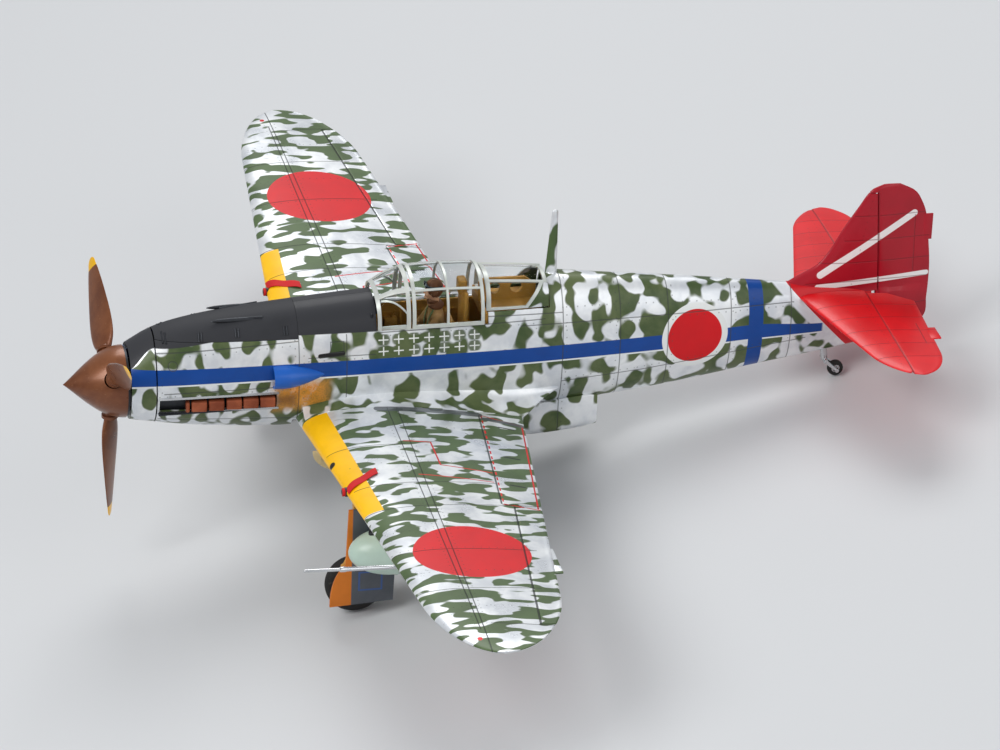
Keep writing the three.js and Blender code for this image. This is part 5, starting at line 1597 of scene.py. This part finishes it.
def radiatorPoint(u, y, inset=0.0, ceiling=None):
    half, low, high = (smoothAlong([[s[0], s[k]] for s in radiator], y) for k in (1, 2, 3))
    half, low = half - inset, low + inset
    high = high if ceiling is None else ceiling
    # down one side, round the corner, across the bottom and up again
    corner = 1.9
    down, flat, turn = high - low - corner, 2 * (half - corner), corner * math.pi / 2
    total = 2 * down + flat + 2 * turn
    d = u * total
    if d < down:
        return Vector((half, y, high - d))
    d -= down
    if d < turn:
        a = d / corner
        return Vector((half - corner + corner * math.cos(a), y, low + corner - corner * math.sin(a)))
    d -= turn
    if d < flat:
        return Vector((half - corner - d, y, low))
    d -= flat
    if d < turn:
        a = d / corner
        return Vector((-half + corner - corner * math.sin(a), y, low + corner - corner * math.cos(a)))
    return Vector((-half, y, low + corner + (d - turn)))


def buildRadiator():
    bm = bmesh.new()
    sheet(bm, 64, steps(84.5, 112.6, 26), radiatorPoint)
    clean(bm)
    bmesh.ops.solidify(bm, geom=bm.faces[:], thickness=0.7)
    block(bm, (-5.4, 85.2, -12.5), (5.4, 112, -12.0), 0.15)
    makePiece("radiatorHousing", bm, "airframe", ["radiator_housing"], "camouflage", finish["fuselage"],
              rim=0.08)
    core = bmesh.new()
    block(core, (-4.6, 95, -15.4), (4.6, 98, -12.9), 0.05)
    for k in range(18):
        x = -4.4 + k * 0.52
        block(core, (x, 94.8, -15.4), (x + 0.16, 95.1, -12.9), 0)
    makePiece("radiatorCore", core, "airframe", ["radiator_core"], "dark_metal", finish["dark"])


def buildTanks():
    bm = bmesh.new()
    t = tank
    profile = []
    for k in range(13):
        angle = k / 12 * math.pi / 2
        profile.append((t["radius"] * math.sin(angle), t["shoulder"] * (1 - math.cos(angle))))
    for k in range(1, 25):
        share = k / 24
        radius = t["radius"] * max(math.cos(share * math.pi / 2), 0) ** 0.85
        profile.append((radius if k < 24 else 0, t["shoulder"] + share * (t["length"] - t["shoulder"])))
    lathe(bm, profile, (t["x"], t["y"], t["z"]), "y", 56)
    # welded seam round its middle
    lathe(bm, [(t["radius"] - 0.05, 9.2), (t["radius"] + 0.12, 9.35), (t["radius"] + 0.12, 9.6),
               (t["radius"] - 0.05, 9.75)],
          (t["x"], t["y"], t["z"]), "y", 56)
    makePair("dropTank", bm, "airframe", ["drop_tank"], "tank_grey_green", finish["tank"],
             angle=60)
    cap = bmesh.new()
    lathe(cap, [(0, 4.75), (0.7, 4.75), (0.9, 4.55), (0.9, 3.6), (0, 3.6)], (t["x"], 55.4, t["z"]), "z", 28)
    makePair("tankCap", cap, "airframe", [], "tank_grey_green", finish["tank cap"])
    rack = bmesh.new()
    bottom = t["z"] + t["radius"] - 0.6

    def rackPoint(u, z):
        share = (z - bottom) / (-5.2 - bottom)
        y0, y1 = blendValue(60, 58, share), blendValue(76, 79, share)
        angle = u * fullTurn
        return Vector((t["x"] + 0.9 * math.sin(angle), (y0 + y1) / 2 - math.cos(angle) * (y1 - y0) / 2, z))
    sheet(rack, 40, steps(bottom, -5.2, 8), rackPoint)
    clean(rack)
    bmesh.ops.holes_fill(rack, edges=[e for e in rack.edges if e.is_boundary], sides=0)
    makePair("tankRack", rack, "airframe", ["tank_rack"], "camouflage", finish["underside"],
             angle=50)


buildMast()
buildRadiator()
buildTanks()
print("tanks and radiator made")

# Undercarriage
axle = {"x": 42.1, "y": 53.9, "z": -27.9}
tailAxle = {"y": 166.05, "z": -8.217}


def wheelPiece(bm, rubber, centre, radius, width, hub):
    half = width / 2
    profile = [(hub, -half * 0.55), (hub + 0.25 * radius / 6, -half * 0.85)]
    for k in range(17):
        angle = -math.pi / 2 + k / 16 * math.pi
        across = half * math.copysign(abs(math.sin(angle)) ** 0.8, math.sin(angle))
        profile.append((hub + 0.1 + (radius - 0.02 - hub - 0.1) * abs(math.cos(angle)) ** 0.55, across))
    profile += [(hub + 0.25 * radius / 6, half * 0.85), (hub, half * 0.55)]
    profile[2:-2] = [p for p in profile[2:-2] if p[0] > hub + 0.3 * radius / 6]
    lathe(rubber, profile, centre, "x", 64)
    scale = radius / 6.25
    hubProfile = [(0, -half * 0.5), (hub * 0.3, -half * 0.5), (hub * 0.34, -half * 0.3),
                  (hub * 0.75, -half * 0.36),
                  (hub * 0.86, -half * 0.66), (hub + 0.12 * scale, -half * 0.66),
                  (hub + 0.12 * scale, half * 0.66),
                  (hub * 0.86, half * 0.66), (hub * 0.75, half * 0.36), (hub * 0.34, half * 0.3),
                  (hub * 0.3, half * 0.5), (0, half * 0.5)]
    lathe(bm, hubProfile, centre, "x", 48)
    for k in range(8):
        angle = k / 8 * fullTurn
        y, z = centre[1] + hub * 0.55 * math.cos(angle), centre[2] + hub * 0.55 * math.sin(angle)
        rod(bm, (centre[0] - half * 0.42, y, z), (centre[0] + half * 0.42, y, z), 0.16 * scale, None, 10)


def buildMainGear():
    legX = axle["x"] + 2.9
    rubber, hub = bmesh.new(), bmesh.new()
    wheelPiece(hub, rubber, (axle["x"], axle["y"], axle["z"]), 6.2, 3.6, 2.9)
    makePair("mainTyre", rubber, ("left_wheel", "right_wheel"), ["main_wheel"], "tyre_black",
             finish["tyre"], angle=50)
    makePair("mainHub", hub, ("left_wheel", "right_wheel"), [], "polished_metal", finish["metal"])
    leg = bmesh.new()
    rod(leg, (legX, 54, wingAt(legX)["height"] - 0.9), (legX, 53.95, -18.5), 1.15, 1.15, 28, 0.12)
    rod(leg, (legX, 53.95, -18.3), (legX, 53.95, -19.1), 1.35, 1.35, 28, 0.15)
    rod(leg, (legX, 52.6, -8.6), (legX, 55.4, -8.6), 0.9, 0.9, 24, 0.1)
    rod(leg, (legX, 53.9, -26.6), (legX, 53.9, -28.8), 1.05, 1.05, 24, 0.15)
    # scissor link ahead of the leg
    for start, end in (((legX, 52.6, -18.6), (legX, 50.9, -22.4)),
                       ((legX, 50.9, -22.4), (legX, 52.9, -26.4))):
        rod(leg, start, end, 0.42, 0.34, 14)
    rod(leg, (legX - 0.7, 50.9, -22.4), (legX + 0.7, 50.9, -22.4), 0.42, 0.42, 14, 0.06)
    makePair("mainLeg", leg, "airframe", ["main_gear_leg"], "gear_ochre", finish["gear"],
             angle=40)
    slide = bmesh.new()
    rod(slide, (legX, 53.95, -18.5), (legX, 53.9, -28.2), 0.75, 0.75, 24)
    rod(slide, (legX, axle["y"], axle["z"]), (axle["x"] + 1.1, axle["y"], axle["z"]), 0.6, 0.6, 20, 0.08)
    makePair("mainSlide", slide, "airframe", [], "polished_metal", finish["metal"])
    doorX = legX + 1.4
    outline = [(51.4, -8.4), (57.2, -8.4), (58.2, -17)]
    for k in range(1, 9):
        t = k / 8
        outline.append(((1 - t) ** 2 * 58.2 + 2 * t * (1 - t) * 61.2 + t * t * 61.2,
                        (1 - t) ** 2 * -17 + 2 * t * (1 - t) * -19.5 + t * t * -24))
    outline += [(61, -29.9), (47.9, -30.6)]
    for k in range(1, 9):
        t = k / 8
        outline.append(((1 - t) ** 2 * 47.9 + 2 * t * (1 - t) * 47.8 + t * t * 51,
                        (1 - t) ** 2 * -30.6 + 2 * t * (1 - t) * -24 + t * t * -21))
    door = bmesh.new()
    prism(door, outline, lambda p: Vector((doorX, *p)), lambda p: Vector((doorX + 0.5, *p)), 0.12)
    makePair("mainDoor", door, "airframe", ["main_gear_door"], "door_grey", finish["door"],
             angle=40)
    ribs = bmesh.new()
    for z in (-12, -15.5, -19, -23, -27):
        block(ribs, (doorX - 0.25, 52.2, z), (doorX + 0.05, 57.2 if z > -18 else 59.6, z + 0.45), 0.08)
    block(ribs, (doorX - 0.25, 52.4, -28), (doorX + 0.05, 53, -9), 0.08)
    for z in (-11, -16):
        block(ribs, (legX + 0.6, 53.4, z), (doorX + 0.05, 54.6, z + 0.8), 0.1)
    makePair("doorRibs", ribs, "airframe", [], "gear_ochre", finish["gear"])
    inner = bmesh.new()
    outline = [(50.2, -12.4), (63.8, -12.4)] + [
        (57 + 6.8 * math.cos(a), -12.6 - 4.8 * math.sin(a)) for a in steps(0.02, math.pi - 0.02, 24)]
    prism(inner, outline, lambda p: Vector((13.25, *p)), lambda p: Vector((13.7, *p)), 0.1)
    for k in range(5):
        y = 51.8 + k * 2.5
        depth = 0.68 * math.sqrt(max(6.2 ** 2 - (y - 57) ** 2, 1))
        block(inner, (13.62, y, -12.6 - depth), (13.8, y + 0.4, -12.8), 0.06)
    makePair("innerDoor", inner, "airframe", ["inner_gear_door"], "gear_ochre",
             finish["cream"], angle=40)


def buildTailWheel():
    rubber, hub = bmesh.new(), bmesh.new()
    wheelPiece(hub, rubber, (0, tailAxle["y"], tailAxle["z"]), 1.735, 1.6, 0.85)
    makePiece("tailTyre", rubber, "tail_wheel", ["tail_wheel"], "tyre_black", finish["tyre"], angle=50)
    makePiece("tailHub", hub, "tail_wheel", [], "polished_metal", finish["metal"])
    fork = bmesh.new()
    rod(fork, (0, 162.5, 1.2), (0, 163.5, -6), 0.8, 0.7, 24, 0.08)
    rod(fork, (-1.75, 163.5, -6), (1.75, 163.5, -6), 0.5, 0.5, 18, 0.08)
    for side in (-1, 1):
        rod(fork, (side * 1.4, 163.5, -6), (side * 1.4, tailAxle["y"], tailAxle["z"]), 0.4, 0.34, 16)
        rod(fork, (side * 0.8, tailAxle["y"], tailAxle["z"]), (side * 1.85, tailAxle["y"], tailAxle["z"]),
            0.48, 0.42, 18, 0.08)
    makePiece("tailFork", fork, "airframe", ["tail_wheel_fork"], "polished_metal", finish["metal"], angle=40)


buildMainGear()
buildTailWheel()
print("undercarriage made")

# Floor, lights and camera
cameraPlace = {
    "position": (925.33, -126.27, 481.22), "right": (0.21251, 0.97652, 0.03519),
    "down": (0.45153, -0.06619, -0.88980), "forward": (-0.86658, 0.20498, -0.45499), "lens": 182.6,
}


studio = {
    "floorColour": (0.6, 0.61, 0.62, 1), "floorRough": 0.6, "floorDrop": 0.0002,
    "skyColour": (0.92, 0.95, 1, 1), "skyPower": 0.38, "aim": (0, 0, 0.03),
    # name, place, size and power
    "lights": (("keyLight", (0.35, -0.55, 0.75), 0.5, 5.2), ("fillLight", (0.7, 0.5, 0.45), 0.7, 2.0),
               ("backLight", (-0.55, 0.2, 0.7), 0.5, 3.6)),
}


def buildStage():
    floorBm = bmesh.new()
    bmesh.ops.create_grid(floorBm, x_segments=2, y_segments=2, size=6)
    mesh = bpy.data.meshes.new("studioFloor")
    floorBm.to_mesh(mesh)
    floorBm.free()
    material = bpy.data.materials.new("studioFloor")
    material.use_nodes = True
    shader = material.node_tree.nodes["Principled BSDF"]
    shader.inputs["Base Color"].default_value = studio["floorColour"]
    shader.inputs["Roughness"].default_value = studio["floorRough"]
    mesh.materials.append(material)
    floor = bpy.data.objects.new("studioFloor", mesh)
    floor.location.z = -studio["floorDrop"]
    bpy.context.scene.collection.objects.link(floor)
    world = bpy.data.worlds.new("studio")
    world.use_nodes = True
    sky = world.node_tree.nodes["Background"]
    sky.inputs["Color"].default_value = studio["skyColour"]
    sky.inputs["Strength"].default_value = studio["skyPower"]
    bpy.context.scene.world = world
    for name, place, size, power in studio["lights"]:
        lamp = bpy.data.lights.new(name, "AREA")
        lamp.size, lamp.energy = size, power
        thing = bpy.data.objects.new(name, lamp)
        thing.location = place
        inward = Vector(studio["aim"]) - Vector(place)
        thing.rotation_euler = inward.to_track_quat("-Z", "Y").to_euler()
        bpy.context.scene.collection.objects.link(thing)
    turn = toRow.to_3x3().normalized()
    right, down, forward = (turn @ Vector(cameraPlace[k]) for k in ("right", "down", "forward"))
    lens = bpy.data.cameras.new("camera")
    lens.lens, lens.sensor_width, lens.clip_start, lens.clip_end = cameraPlace["lens"], 36, 0.05, 20
    viewer = bpy.data.objects.new("camera", lens)
    bpy.context.scene.collection.objects.link(viewer)
    viewer.matrix_world = Matrix.Translation(toRow @ Vector(cameraPlace["position"])) @ Matrix(
        (right, -down, -forward)).transposed().to_4x4()
    bpy.context.scene.camera = viewer
    bpy.context.scene.view_settings.view_transform = "Standard"


buildStage()
print("stage set")
